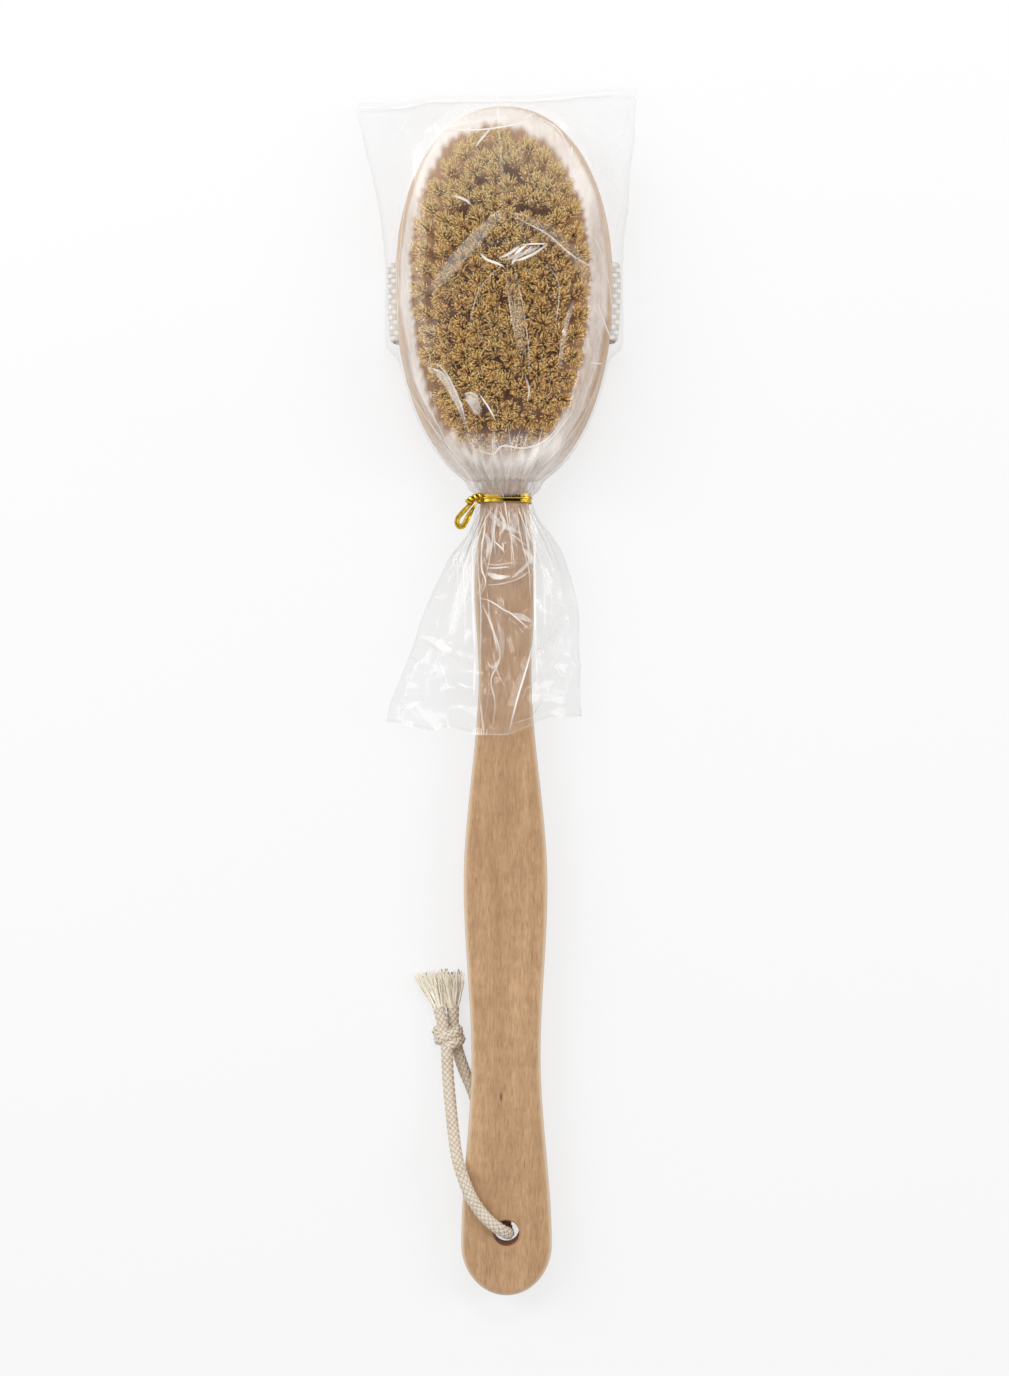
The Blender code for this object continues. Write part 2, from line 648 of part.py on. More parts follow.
def make_cord(cotton):
    line = smooth_line(CORD_ROUTE, CORD_STEP)
    add_tube("cord_loop", line, CORD_DIAMETER, cotton)
    print("cord length", round(float(np.linalg.norm(np.diff(line, axis=0), axis=1).sum()), 4))
    print("cord least gap to itself", round(least_gap(line, CORD_DIAMETER), 5))
    add_tube("cord_tail_left", smooth_line(LEFT_TAIL_ROUTE, CORD_STEP), CORD_DIAMETER, cotton)
    add_tube("cord_tail_right", smooth_line(RIGHT_TAIL_ROUTE, CORD_STEP), CORD_DIAMETER, cotton)

    wide = KNOT_WRAP_RADIUS + CORD_DIAMETER / 4
    core = [
        (-KNOT_WRAP_OFFSET, KNOT_CORE_END),
        (-KNOT_WRAP_OFFSET / 2, 1.0),
        (KNOT_WRAP_OFFSET / 2, 1.0),
        (KNOT_WRAP_OFFSET, KNOT_CORE_END),
    ]
    turns = [2 * math.pi * i / 16 for i in range(16)]
    rings = [
        [(share * wide * math.cos(t), y, share * wide * KNOT_WRAP_FLATNESS * math.sin(t)) for t in turns]
        for y, share in core
    ]
    knot = add_object("cord_knot", make_loft("cord_knot", rings, 60), cotton)
    centre = (KNOT_CENTRE[0], END_Y + KNOT_CENTRE[1], KNOT_CENTRE[2])
    knot.location = centre
    knot.rotation_euler.z = math.radians(KNOT_TILT)
    for offset, name in ((-KNOT_WRAP_OFFSET, "lower_wrap"), (KNOT_WRAP_OFFSET, "upper_wrap")):
        mesh = ring_mesh(name, KNOT_WRAP_RADIUS, CORD_DIAMETER, KNOT_WRAP_FLATNESS, offset)
        wrap = add_cutter(name, mesh)
        wrap.parent = knot
        combine(knot, wrap, "UNION")


def film_ring(y, left, right, bottom, widest, top, top_half):
    # One section of the bag: a flat bottom, rounded sides and a crown
    middle = (right - left) / 2
    half = (right + left) / 2
    crown = min(top_half, half)
    corner = min(CORNER_SHARE * half, BAG_CORNER)
    height = min(CORNER_RISE * corner, CORNER_TOP * (widest - bottom))
    crease = min((top - widest) / 4, 0.3 * crown, BAG_CREASE)
    side = []
    for i in range(5):
        turn = math.pi / 2 * i / 4
        x = half - corner * (1 - math.sin(turn))
        side.append((x, bottom + height * (1 - math.cos(turn))))
    side.append((half, widest))
    side.append(((half + crown) / 2, (widest + top - crease) / 2))
    side.append((crown, top - crease))
    side.append((crown - crease * 0.3, top - crease * 0.3))
    side.append((crown - crease, top))
    both = side + [(-x, z) for x, z in side[::-1]]
    return [(middle + x, y, z) for x, z in both]


def neck_size():
    # The bag's outer half-width, bottom and top where it is tied
    half = handle_half_width(TIE_BOTTOM_Y - END_Y) + CLEARANCE + FILM
    bottom = HANDLE_REST - CLEARANCE - FILM
    return half, bottom, HANDLE_REST + HANDLE_THICKNESS + CLEARANCE + FILM


def eased(value, start, stop):
    # 0 up to start and 1 from stop, fast at first and level at the end
    return math.sin(math.pi / 2 * min(1.0, max(0.0, (value - start) / (stop - start))))


def skirt_section(share):
    # One section of the bag below the tie, at a share of the skirt's length
    neck, neck_bottom, neck_top = neck_size()
    spread = 1 - (1 - share) ** SKIRT_FLARE
    sooner = min(1.0, SKIRT_RIGHT_FLARE * spread)
    left = neck + (SKIRT_LEFT - neck) * spread
    right = neck + (SKIRT_RIGHT - neck) * sooner
    bottom = neck_bottom * (1 - min(1.0, SKIRT_DROP * spread))
    top = neck_top + (SKIRT_TOP - neck_top) * sooner
    y = TIE_BOTTOM_Y - SKIRT_LENGTH * share
    return y, left, right, bottom, (bottom + top) / 2, top, (neck + right) / 2


def head_section(y):
    # One section of the bag over the head, taut from the tie to the bristles' tips and over
    # the slack of the strap
    neck, neck_bottom, neck_top = neck_size()
    snug = CLEARANCE + FILM + CHORD_ROOM
    wood = max(neck, egg_half_width(max(y, HEAD_END_Y) + CHORD_ROOM, 0) + snug)
    past_strap = max(0.0, STRAP_Y - STRAP_WIDTH / 2 - STRAP_THICKNESS - y)
    half = max(wood, STRAP_HALF_SPAN + snug - past_strap * STRAP_FAIRING)
    rise = eased(y, TIE_TOP_Y, LOWEST_TIP_Y)
    top = neck_top + (TIPS_Z + CLEARANCE + FILM - neck_top) * rise
    bottom = neck_bottom * (1 - eased(y, TIE_TOP_Y, HEAD_END_Y + BACK_ROUNDING))
    return y, half, half, bottom, BAG_SIDE_HEIGHT, top, wood - CROWN_INSET * rise


def end_section(share, low_y, low_half):
    # One section of the bag past the strap, where it widens and closes to its flat seam
    close_y = END_Y + WHOLE_LENGTH - SEAM_LENGTH
    y = low_y + (close_y - low_y) * math.sin(math.pi / 2 * share)
    flare = ((y - low_y) / (close_y - low_y)) ** SEAM_FLARE
    half = low_half + (SEAM_HALF_WIDTH - low_half) * flare
    along = min(1.0, max(0.0, (y - HIGHEST_TIP_Y) / (close_y - HIGHEST_TIP_Y)))
    fall = 1 - math.sqrt(1 - along**2)
    film_top = TIPS_Z + CLEARANCE + FILM
    top = film_top + (SEAM_HEIGHT + 1.5 * FILM - film_top) * fall
    bottom = (SEAM_HEIGHT - 1.5 * FILM) * fall
    widest = BAG_SIDE_HEIGHT + (SEAM_HEIGHT - BAG_SIDE_HEIGHT) * fall
    crown = HEAD_HALF_WIDTH - CROWN_INSET
    return y, half, half, bottom, widest, top, crown + (half - crown) * fall


def bag_sections():
    # (y, left, right, bottom, widest, top, top_half) of each section, from the mouth to the seam
    neck, neck_bottom, neck_top = neck_size()
    sections = [skirt_section(1 - i / SKIRT_STEPS) for i in range(SKIRT_STEPS)]
    for y in (TIE_BOTTOM_Y, TIE_TOP_Y):
        sections.append((y, neck, neck, neck_bottom, (neck_bottom + neck_top) / 2, neck_top, neck))

    start = HEAD_END_Y - SOCKET_SLACK
    stop = STRAP_Y - STRAP_WIDTH / 2 - STRAP_THICKNESS
    for i in range(BELLY_STEPS + 1):
        y = start + (stop - start) * (1 - math.cos(math.pi / 2 * i / BELLY_STEPS))
        sections.append(head_section(y))
    past = STRAP_Y + STRAP_WIDTH / 2 + STRAP_THICKNESS
    sections += [head_section(STRAP_Y), head_section(past)]
    reach = sections[-1][1]
    sections += [end_section(i / SEAM_STEPS, past, reach) for i in range(1, SEAM_STEPS + 1)]
    return sections


def split_bridge(first, second, count):
    # As bridge, but in triangles that are cut the same way on both sides of the ring
    faces = []
    for i, (a, b, c, d) in enumerate(bridge(first, second, count)):
        faces += [(a, b, c), (a, c, d)] if i < count // 2 else [(a, b, d), (b, c, d)]
    return faces


def moved_inward(points, triangles, depth):
    # The points moved square to the surface, against the mean of the faces round each
    corners = points[np.array(triangles)]
    square = np.cross(corners[:, 1] - corners[:, 0], corners[:, 2] - corners[:, 0])
    square /= np.linalg.norm(square, axis=1)[:, None]
    mean = np.zeros_like(points)
    for i in range(3):
        edges = corners[:, [(i + 1) % 3, (i + 2) % 3]] - corners[:, [i, i]]
        edges /= np.linalg.norm(edges, axis=2)[:, :, None]
        angle = np.arccos(np.clip((edges[:, 0] * edges[:, 1]).sum(axis=1), -1, 1))
        np.add.at(mean, np.array(triangles)[:, i], square * angle[:, None])
    return points - depth * mean / np.linalg.norm(mean, axis=1)[:, None]


def make_bag(film):
    rings = [film_ring(*section) for section in bag_sections()]
    rings.append([(x, END_Y + WHOLE_LENGTH, z) for x, _, z in rings[-1]])
    count = len(rings[0])
    outer = np.array([p for ring in rings for p in ring])
    wall = []
    for i in range(len(rings) - 1):
        wall += split_bridge((i + 1) * count, i * count, count)
    inner = moved_inward(outer, wall, FILM)[:-count]

    shift = len(outer)
    faces = wall + [tuple(shift + i for i in face[::-1]) for face in wall if max(face) < shift - count]
    faces += bridge(0, shift, count)
    end = shift - count
    faces.append(tuple(range(end, shift)))
    # The hollow closes at the seam, where each step joins the points that face each other.
    end += shift - count
    for i in range(count // 2 - 1):
        faces.append((end + i, end + i + 1, end + count - 2 - i, end + count - 1 - i))
    add_object("bag", make_mesh("bag", np.concatenate([outer, inner]), faces, 35), film)


# The tie's free end, folded back to its knot as a flat loop, in shares of its reach
TIE_LOOP_ROUTE = (
    (0.03, 0.07, 0.05),
    (-0.30, -0.18, 0.15),
    (-0.58, -0.52, 0.22),
    (-0.63, -0.75, 0.23),
    (-0.53, -0.90, 0.23),
    (-0.37, -0.85, 0.23),
    (-0.18, -0.50, 0.20),
    (0.01, -0.07, 0.05),
)


def make_tie(foil):
    neck, bottom, top = neck_size()
    widest = (bottom + top) / 2

    def band(spread):
        out = CLEARANCE + spread
        return [
            film_ring(y, neck + out, neck + out, bottom - out, widest, top + out, neck + out)
            for y in (TIE_BOTTOM_Y + CLEARANCE, TIE_TOP_Y - CLEARANCE)
        ]

    tie = add_object("twist_tie", make_shell("twist_tie", band(TIE_THICKNESS), band(0.0)), foil)
    knot_x, knot_z = -neck - CLEARANCE - TIE_THICKNESS * 1.6, top + TIE_THICKNESS * 1.4
    place = (TIE_TOP_Y + TIE_BOTTOM_Y) / 2
    knot = bmesh.new()
    bmesh.ops.create_uvsphere(knot, u_segments=12, v_segments=8, radius=TIE_BEAD)
    mesh = bpy.data.meshes.new("tie_knot")
    knot.to_mesh(mesh)
    knot.free()
    bead = add_cutter("tie_knot", mesh)
    bead.location = (knot_x, place, knot_z)
    combine(tie, bead, "UNION")
    route = [
        (knot_x + x * TIE_LOOP, place - END_Y + y * TIE_LOOP, knot_z + z * TIE_LOOP)
        for x, y, z in TIE_LOOP_ROUTE
    ]
    wire = add_tube("tie_wire", smooth_line(route, TIE_WIRE), TIE_WIRE, foil, 1)
    mesh = bpy.data.meshes.new_from_object(wire)
    bpy.data.objects.remove(wire)
    combine(tie, add_cutter("tie_loop", mesh), "UNION")


def main():
    clear_scene()
    beech = make_material("beech", (0.56, 0.35, 0.19), 0.55)
    bristle = make_material("bristle", (0.62, 0.42, 0.17), 0.6)
    cotton = make_material("cotton_cord", (0.80, 0.72, 0.58), 0.9)
    webbing = make_material("webbing", (0.82, 0.76, 0.64), 0.9)
    steel = make_material("steel", (0.55, 0.55, 0.55), 0.35, 1.0)
    film = make_material("clear_film", (0.95, 0.95, 0.95), 0.15, 0.0, 0.25)
    foil = make_material("gold_foil", (0.83, 0.62, 0.12), 0.25, 1.0)

    make_head(beech)
    make_bristles(bristle)
    make_strap(webbing)
    make_pins(steel)
    make_handle(beech)
    make_cord(cotton)
    make_bag(film)
    make_tie(foil)


main()
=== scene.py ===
import math
import random

import bmesh
import bpy
import numpy as np
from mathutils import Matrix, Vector
from mathutils.bvhtree import BVHTree


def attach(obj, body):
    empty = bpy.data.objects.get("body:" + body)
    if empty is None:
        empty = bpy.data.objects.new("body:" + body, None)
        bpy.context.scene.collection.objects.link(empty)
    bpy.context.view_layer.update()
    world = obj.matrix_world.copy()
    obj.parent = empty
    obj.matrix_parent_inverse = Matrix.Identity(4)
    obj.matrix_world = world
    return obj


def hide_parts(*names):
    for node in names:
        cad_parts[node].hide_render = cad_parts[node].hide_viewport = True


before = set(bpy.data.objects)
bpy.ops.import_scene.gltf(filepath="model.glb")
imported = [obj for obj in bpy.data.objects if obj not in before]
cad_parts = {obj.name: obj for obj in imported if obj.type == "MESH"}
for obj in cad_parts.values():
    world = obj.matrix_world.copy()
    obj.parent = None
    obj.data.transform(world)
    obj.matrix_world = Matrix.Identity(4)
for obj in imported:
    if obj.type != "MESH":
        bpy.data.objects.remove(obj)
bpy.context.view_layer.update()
scene = bpy.context.scene
scene.view_settings.view_transform = "Standard"

# Places along the brush
endY = -0.2125  # the handle's end
headEndY = 0.0755  # the head's square end at the neck
headTopY = 0.2074
widestY = 0.1440  # where the head is widest
topY = 0.2125  # the bag's sealed edge

shot = dict(x=-0.0002, y=0.00205, height=0.966, lens=70.5, sensor=36, roll=-0.15, wide=1009, tall=1376)
studio = dict(
    worldLight=0.50,
    lamps=(  # name, place, what it points at, size, power
        ("key", (-0.72, 0.30, 0.80), (0, 0.02, 0), (0.40, 0.80), 4.8),
        ("fill", (0.80, 0.10, 0.78), (0, 0.02, 0), (0.28, 0.55), 2.8),
        ("top", (0.05, 0.75, 1.05), (0, 0.1, 0), (0.45, 0.20), 2.8),
    ),
    floorHalf=3.0,
    floorZ=-0.0003,
    paper=(0.86, 0.86, 0.87),
    paperFrom=(0.10, 0.995),  # a place along the floor, and how white it looks there
    paperTo=(0.24, 1.03),
    paperShare=0.70,  # how much of its look is that white; the rest takes the light and the shadow
)


def makeCamera():
    lens = bpy.data.cameras.new("camera")
    lens.lens = shot["lens"]
    lens.sensor_width = shot["sensor"]
    lens.clip_start, lens.clip_end = 0.01, 50
    made = bpy.data.objects.new("camera", lens)
    made.location = (shot["x"], shot["y"], shot["height"])
    made.rotation_euler = (0, 0, math.radians(shot["roll"]))
    scene.collection.objects.link(made)
    scene.camera = made


def addLamp(name, place, target, size, power):
    lamp = bpy.data.lights.new(name, "AREA")
    lamp.shape = "RECTANGLE"
    lamp.size, lamp.size_y = size
    lamp.energy = power
    made = bpy.data.objects.new(name, lamp)
    made.location = place
    away = Vector(place) - Vector(target)
    made.rotation_euler = away.to_track_quat("Z", "Y").to_euler()
    scene.collection.objects.link(made)


def makeStudio():
    world = bpy.data.worlds.new("studio")
    world.use_nodes = True
    scene.world = world
    tree = world.node_tree
    tree.nodes.clear()
    soft = addNode(tree, "ShaderNodeBackground", Color=(1, 1, 1, 1), Strength=studio["worldLight"])
    white = addNode(tree, "ShaderNodeBackground", Color=(1, 1, 1, 1), Strength=1.0)
    mixShaders(tree, seenRays(tree), soft, white, addNode(tree, "ShaderNodeOutputWorld").inputs[0])
    for lamp in studio["lamps"]:
        addLamp(*lamp)

    half, low = studio["floorHalf"], studio["floorZ"]
    mesh = bpy.data.meshes.new("floor")
    corners = [(-half, -half, low), (half, -half, low), (half, half, low), (-half, half, low)]
    mesh.from_pydata(corners, [], [(0, 1, 2, 3)])
    floor = bpy.data.objects.new("floor", mesh)
    scene.collection.objects.link(floor)
    paper, tree, lit = newMaterial(
        "paper", {"Base Color": (*studio["paper"], 1), "Roughness": 0.9, "Specular IOR Level": 0.0}
    )
    glow = addNode(tree, "ShaderNodeEmission", Color=(1, 1, 1, 1))
    (near, nearWhite), (far, farWhite) = studio["paperFrom"], studio["paperTo"]
    join(tree, remap(tree, apart(tree, place(tree))["Y"], near, far, nearWhite, farWhite), glow.inputs["Strength"])
    share = maths(tree, "MULTIPLY", seenRays(tree), studio["paperShare"])
    mixShaders(tree, share, lit, glow, tree.nodes["Material Output"].inputs["Surface"])
    mesh.materials.append(paper)


def addNode(tree, kind, **settings):
    node = tree.nodes.new(kind)
    for name, value in settings.items():
        if name in node.inputs:
            node.inputs[name].default_value = value
        else:
            setattr(node, name, value)
    return node


def join(tree, source, target):
    # source is another socket, or a plain number, place or colour
    if isinstance(source, tuple):
        target.default_value = (*source, 1.0) if target.type == "RGBA" else source
    elif isinstance(source, (int, float)):
        target.default_value = source
    else:
        tree.links.new(source, target)


def seenRays(tree):
    # 1 for what the camera sees itself, in gloss or through glass
    rays = addNode(tree, "ShaderNodeLightPath").outputs
    direct = maths(tree, "MAXIMUM", rays["Is Camera Ray"], rays["Is Glossy Ray"])
    return maths(tree, "MAXIMUM", direct, rays["Is Transmission Ray"])


def mixShaders(tree, share, first, second, target):
    mixer = addNode(tree, "ShaderNodeMixShader")
    for source, socket in zip((share, first.outputs[0], second.outputs[0]), mixer.inputs):
        join(tree, source, socket)
    join(tree, mixer.outputs[0], target)


def maths(tree, operation, a, b=None, clamp=False):
    node = addNode(tree, "ShaderNodeMath", operation=operation)
    node.use_clamp = clamp
    join(tree, a, node.inputs[0])
    if b is not None:
        join(tree, b, node.inputs[1])
    return node.outputs[0]


def remap(tree, value, low, high, toLow=0.0, toHigh=1.0):
    node = addNode(tree, "ShaderNodeMapRange")
    for i, source in enumerate((value, low, high, toLow, toHigh)):
        join(tree, source, node.inputs[i])
    return node.outputs[0]


def blendColours(tree, share, first, second):
    node = addNode(tree, "ShaderNodeMix", data_type="RGBA")
    for i, source in ((0, share), (6, first), (7, second)):
        join(tree, source, node.inputs[i])
    return node.outputs[2]


def noise(tree, vector, scale, detail=3.0, roughness=0.5):
    node = addNode(tree, "ShaderNodeTexNoise", Scale=scale, Detail=detail, Roughness=roughness)
    join(tree, vector, node.inputs["Vector"])
    return node.outputs["Fac"]


def place(tree):
    return addNode(tree, "ShaderNodeTexCoord").outputs["Object"]


def apart(tree, vector):
    # Its X, Y and Z
    node = addNode(tree, "ShaderNodeSeparateXYZ")
    join(tree, vector, node.inputs[0])
    return node.outputs


def meshValue(tree, name):
    # A value that the mesh carries
    return addNode(tree, "ShaderNodeAttribute", attribute_name=name).outputs["Fac"]


def stretched(tree, vector, scale, shift=(0, 0, 0)):
    node = addNode(tree, "ShaderNodeMapping")
    for label, source in (("Vector", vector), ("Location", shift), ("Scale", scale)):
        join(tree, source, node.inputs[label])
    return node.outputs[0]


def relief(tree, shader, height, distance, strength=1.0):
    node = addNode(tree, "ShaderNodeBump", Distance=distance, Strength=strength)
    join(tree, height, node.inputs["Height"])
    join(tree, node.outputs[0], shader.inputs["Normal"])


def newMaterial(name, values):
    # values: what is the same all over the surface
    made = bpy.data.materials.new(name)
    made.use_nodes = True
    shader = made.node_tree.nodes["Principled BSDF"]
    for label, value in values.items():
        shader.inputs[label].default_value = value
    return made, made.node_tree, shader


def newGroup(name, inputs, outputs):
    group = bpy.data.node_groups.new(name, "ShaderNodeTree")
    for direction, sockets in (("INPUT", inputs), ("OUTPUT", outputs)):
        for label, kind in sockets:
            group.interface.new_socket(name=label, in_out=direction, socket_type="NodeSocket" + kind)
    return group, group.nodes.new("NodeGroupInput").outputs, group.nodes.new("NodeGroupOutput").inputs


def useGroup(tree, group, **values):
    node = addNode(tree, "ShaderNodeGroup", node_tree=group)
    for name, value in values.items():
        join(tree, value, node.inputs[name])
    return node


wood = dict(
    light=(0.675, 0.430, 0.240),
    face=(0.475, 0.281, 0.146),
    dark=(0.230, 0.112, 0.050),
    # The next two colours are painted highlights on the rounded edges, of the handle and of the head.
    edge=(0.790, 0.620, 0.440),
    headEdge=(0.600, 0.420, 0.270),
    # Scale across, along and through the wood, detail and roughness of each noise
    broad=((120, 11, 60), 5.0, 0.66),
    fine=((1400, 230, 900), 4.0, 0.7),
    flecks=((2600, 190, 2000), 1.0, 0.4),
    figure=((120, 150, 120), 4.0, 0.6),
    # From where to where in its noise each one darkens the wood, and how much at most
    figureDark=(0.46, 0.74, 0.0, 0.26),
    fineDark=(0.36, 0.72, 0.0, 0.46),
    flecksDark=(0.60, 0.74, 0.0, 0.50),
    headPlace=(0.31, 0.17, 0.05),  # where in the grain the head is cut
    deeperAlong=(-0.075, 0.0),
    relief=0.00012,
)


def makeGrainGroup():
    # Fine wood grain along Y: long soft streaks and short dark flecks, and a painted highlight that makes the rounded
    # edge paler
    group, given, made = newGroup(
        "woodGrain",
        [("Vector", "Vector"), ("Light", "Color"), ("Face", "Color"), ("Dark", "Color"), ("Edge", "Color"),
         ("Facing", "Float")],
        [("Color", "Color"), ("Roughness", "Float"), ("Height", "Float")],
    )
    broad, fine, flecks, figure = (
        noise(group, stretched(group, given["Vector"], scale), 1.0, detail, roughness)
        for scale, detail, roughness in (wood["broad"], wood["fine"], wood["flecks"], wood["figure"])
    )
    colour = blendColours(group, remap(group, broad, 0.32, 0.70), given["Face"], given["Light"])
    for source, dark in ((figure, wood["figureDark"]), (fine, wood["fineDark"]), (flecks, wood["flecksDark"])):
        colour = blendColours(group, remap(group, source, *dark), colour, given["Dark"])
    # The painted highlight is a paler line on the rounding alone: it is gone again on the upright sides.
    rounding = remap(group, given["Facing"], 0.992, 0.62, 0.0, 0.92)
    notUpright = remap(group, given["Facing"], 0.06, 0.38, 0.18, 1.0)
    colour = blendColours(group, maths(group, "MULTIPLY", rounding, notUpright), colour, given["Edge"])
    join(group, colour, made["Color"])
    join(group, remap(group, fine, 0.3, 0.7, 0.54, 0.68), made["Roughness"])
    join(group, maths(group, "ADD", fine, maths(group, "MULTIPLY", flecks, -0.6)), made["Height"])
    return group


# edge is the colour of the painted highlight on the rounded edge.
def woodMaterial(name, group, shift=(0, 0, 0), marks=(), deeper=None, edge=wood["edge"]):
    made, tree, shader = newMaterial(name, {"Specular IOR Level": 0.35})
    here = place(tree)
    normal = addNode(tree, "ShaderNodeNewGeometry").outputs["Normal"]
    grain = useGroup(
        tree, group, Vector=stretched(tree, here, (1, 1, 1), shift), Light=wood["light"], Face=wood["face"],
        Dark=wood["dark"], Edge=edge, Facing=maths(tree, "ABSOLUTE", apart(tree, normal)["Z"]),
    )
    colour = grain.outputs["Color"]
    for centre, scale, reach, shade in marks:
        # A mark is a soft spot of another colour: a darker fleck in the grain, plain face colour over the hole's
        # chamfer, or a darker brown on the hole's wall.
        far = addNode(tree, "ShaderNodeVectorMath", operation="LENGTH")
        join(tree, stretched(tree, here, scale, tuple(-c * s for c, s in zip(centre, scale))), far.inputs[0])
        colour = blendColours(tree, remap(tree, far.outputs["Value"], *reach), colour, shade)
    if deeper:
        # The plank is a little darker from one place along it on.
        colour = blendColours(tree, remap(tree, apart(tree, here)["Y"], *deeper, 0.0, 0.16), colour, wood["dark"])
    join(tree, colour, shader.inputs["Base Color"])
    join(tree, grain.outputs["Roughness"], shader.inputs["Roughness"])
    relief(tree, shader, grain.outputs["Height"], wood["relief"], 0.6)
    return made


hair = dict(
    tips=((1.0, 0.66, 0.15), (1.0, 0.90, 0.44)),  # the darkest and the palest hair
    # The root colours are darker: painted shade deep down among the bristles.
    roots=((0.60, 0.27, 0.06), (0.92, 0.51, 0.15)),
    # The paler colours of the outer tufts are a painted highlight.
    litOuterTip=(1.0, 0.91, 0.52),
    litOuterRoot=(1.0, 0.72, 0.36),
    # From where to where, and from how much to how much, a hair counts as an outer one and takes the painted highlight
    litLeft=(-0.014, -0.030, 0.0, 0.7),
    litRight=(0.018, 0.030, 0.0, 0.5),
    litTop=(0.150, 0.186),
    rootShadeFades=(0.0284, 0.0338),
    sheen=(1.0, 0.74, 0.36, 1),
)


def bristleMaterial():
    made, tree, shader = newMaterial("boarBristle", {
        "Roughness": 0.30, "Specular IOR Level": 0.9, "Coat Weight": 0.5, "Coat Roughness": 0.22,
        "Sheen Weight": 0.6, "Sheen Tint": hair["sheen"],
    })
    spot = apart(tree, place(tree))
    shade = remap(tree, meshValue(tree, "shade"), 0.25, 0.65)
    tip, root = blendColours(tree, shade, *hair["tips"]), blendColours(tree, shade, *hair["roots"])
    # The outer tufts lean out, and their sides are painted paler: a painted highlight where more light falls on them.
    sides = maths(tree, "ADD", remap(tree, spot["X"], *hair["litLeft"]), remap(tree, spot["X"], *hair["litRight"]))
    outer = maths(tree, "ADD", remap(tree, spot["Y"], *hair["litTop"]), sides, clamp=True)
    tip = blendColours(tree, maths(tree, "MULTIPLY", outer, 0.80), tip, hair["litOuterTip"])
    root = blendColours(tree, outer, root, hair["litOuterRoot"])
    # Low in the tufts the hair takes the darker root colour: painted shade between the tufts.
    join(tree, blendColours(tree, remap(tree, spot["Z"], *hair["rootShadeFades"]), root, tip), shader.inputs["Base Color"])
    return made


# The pale and the deep colour of each cotton, how fine its threads are and how deep its relief is
cottons = dict(
    cottonCord=((0.93, 0.83, 0.70), (0.78, 0.67, 0.52), 2600, 0.00010),
    strapWebbing=((1.0, 0.96, 0.90), (0.97, 0.92, 0.84), 3000, 0.00008),
    frayedCotton=((1.0, 0.97, 0.88), (1.0, 0.91, 0.74), 2600, 0.00006),
)


def yarnGroup():
    # Cotton: fine twisted lines, uneven colour and a soft fuzzy height
    group, given, made = newGroup(
        "cottonYarn",
        [("Vector", "Vector"), ("Pale", "Color"), ("Deep", "Color"), ("Fineness", "Float")],
        [("Color", "Color"), ("Height", "Float")],
    )
    fine = addNode(group, "ShaderNodeTexNoise", Detail=3.0, Roughness=0.6)
    join(group, given["Vector"], fine.inputs["Vector"])
    join(group, given["Fineness"], fine.inputs["Scale"])
    broad = noise(group, given["Vector"], 260, 2.0)
    share = maths(group, "MULTIPLY", maths(group, "ADD", fine.outputs["Fac"], broad), 0.5)
    join(group, blendColours(group, remap(group, share, 0.36, 0.64), given["Deep"], given["Pale"]), made["Color"])
    join(group, fine.outputs["Fac"], made["Height"])
    return group


def yarnMaterial(name, group, pale, deep, fineness, depth):
    made, tree, shader = newMaterial(name, {"Roughness": 0.92, "Sheen Weight": 0.25, "Specular IOR Level": 0.2})
    yarn = useGroup(tree, group, Vector=place(tree), Pale=pale, Deep=deep, Fineness=fineness)
    # The mesh says where the cotton is painted darker: painted shade where strands dive under each other, between them
    # and in the weave's hollows.
    hollow = maths(tree, "MULTIPLY", meshValue(tree, "hollow"), 0.75)
    colour = blendColours(tree, hollow, yarn.outputs["Color"], tuple(c * 0.30 for c in deep))
    join(tree, colour, shader.inputs["Base Color"])
    relief(tree, shader, yarn.outputs["Height"], depth, 0.8)
    return made


film = dict(
    faceAlpha=0.013,
    grazingAlpha=0.32,
    roughness=0.12,
    milkyRoughness=0.42,
    clear=(0.66, 0.66, 0.66),
    # white is the colour of the painted reflection and milky haze on the film.
    white=(0.98, 0.945, 0.905),
    streaks=(620, 230, 620),
    ripples=(600, 330, 600),
    greyHazeBelow=(0.060, 0.072),  # the loose skirt, where thin haze stays grey
)


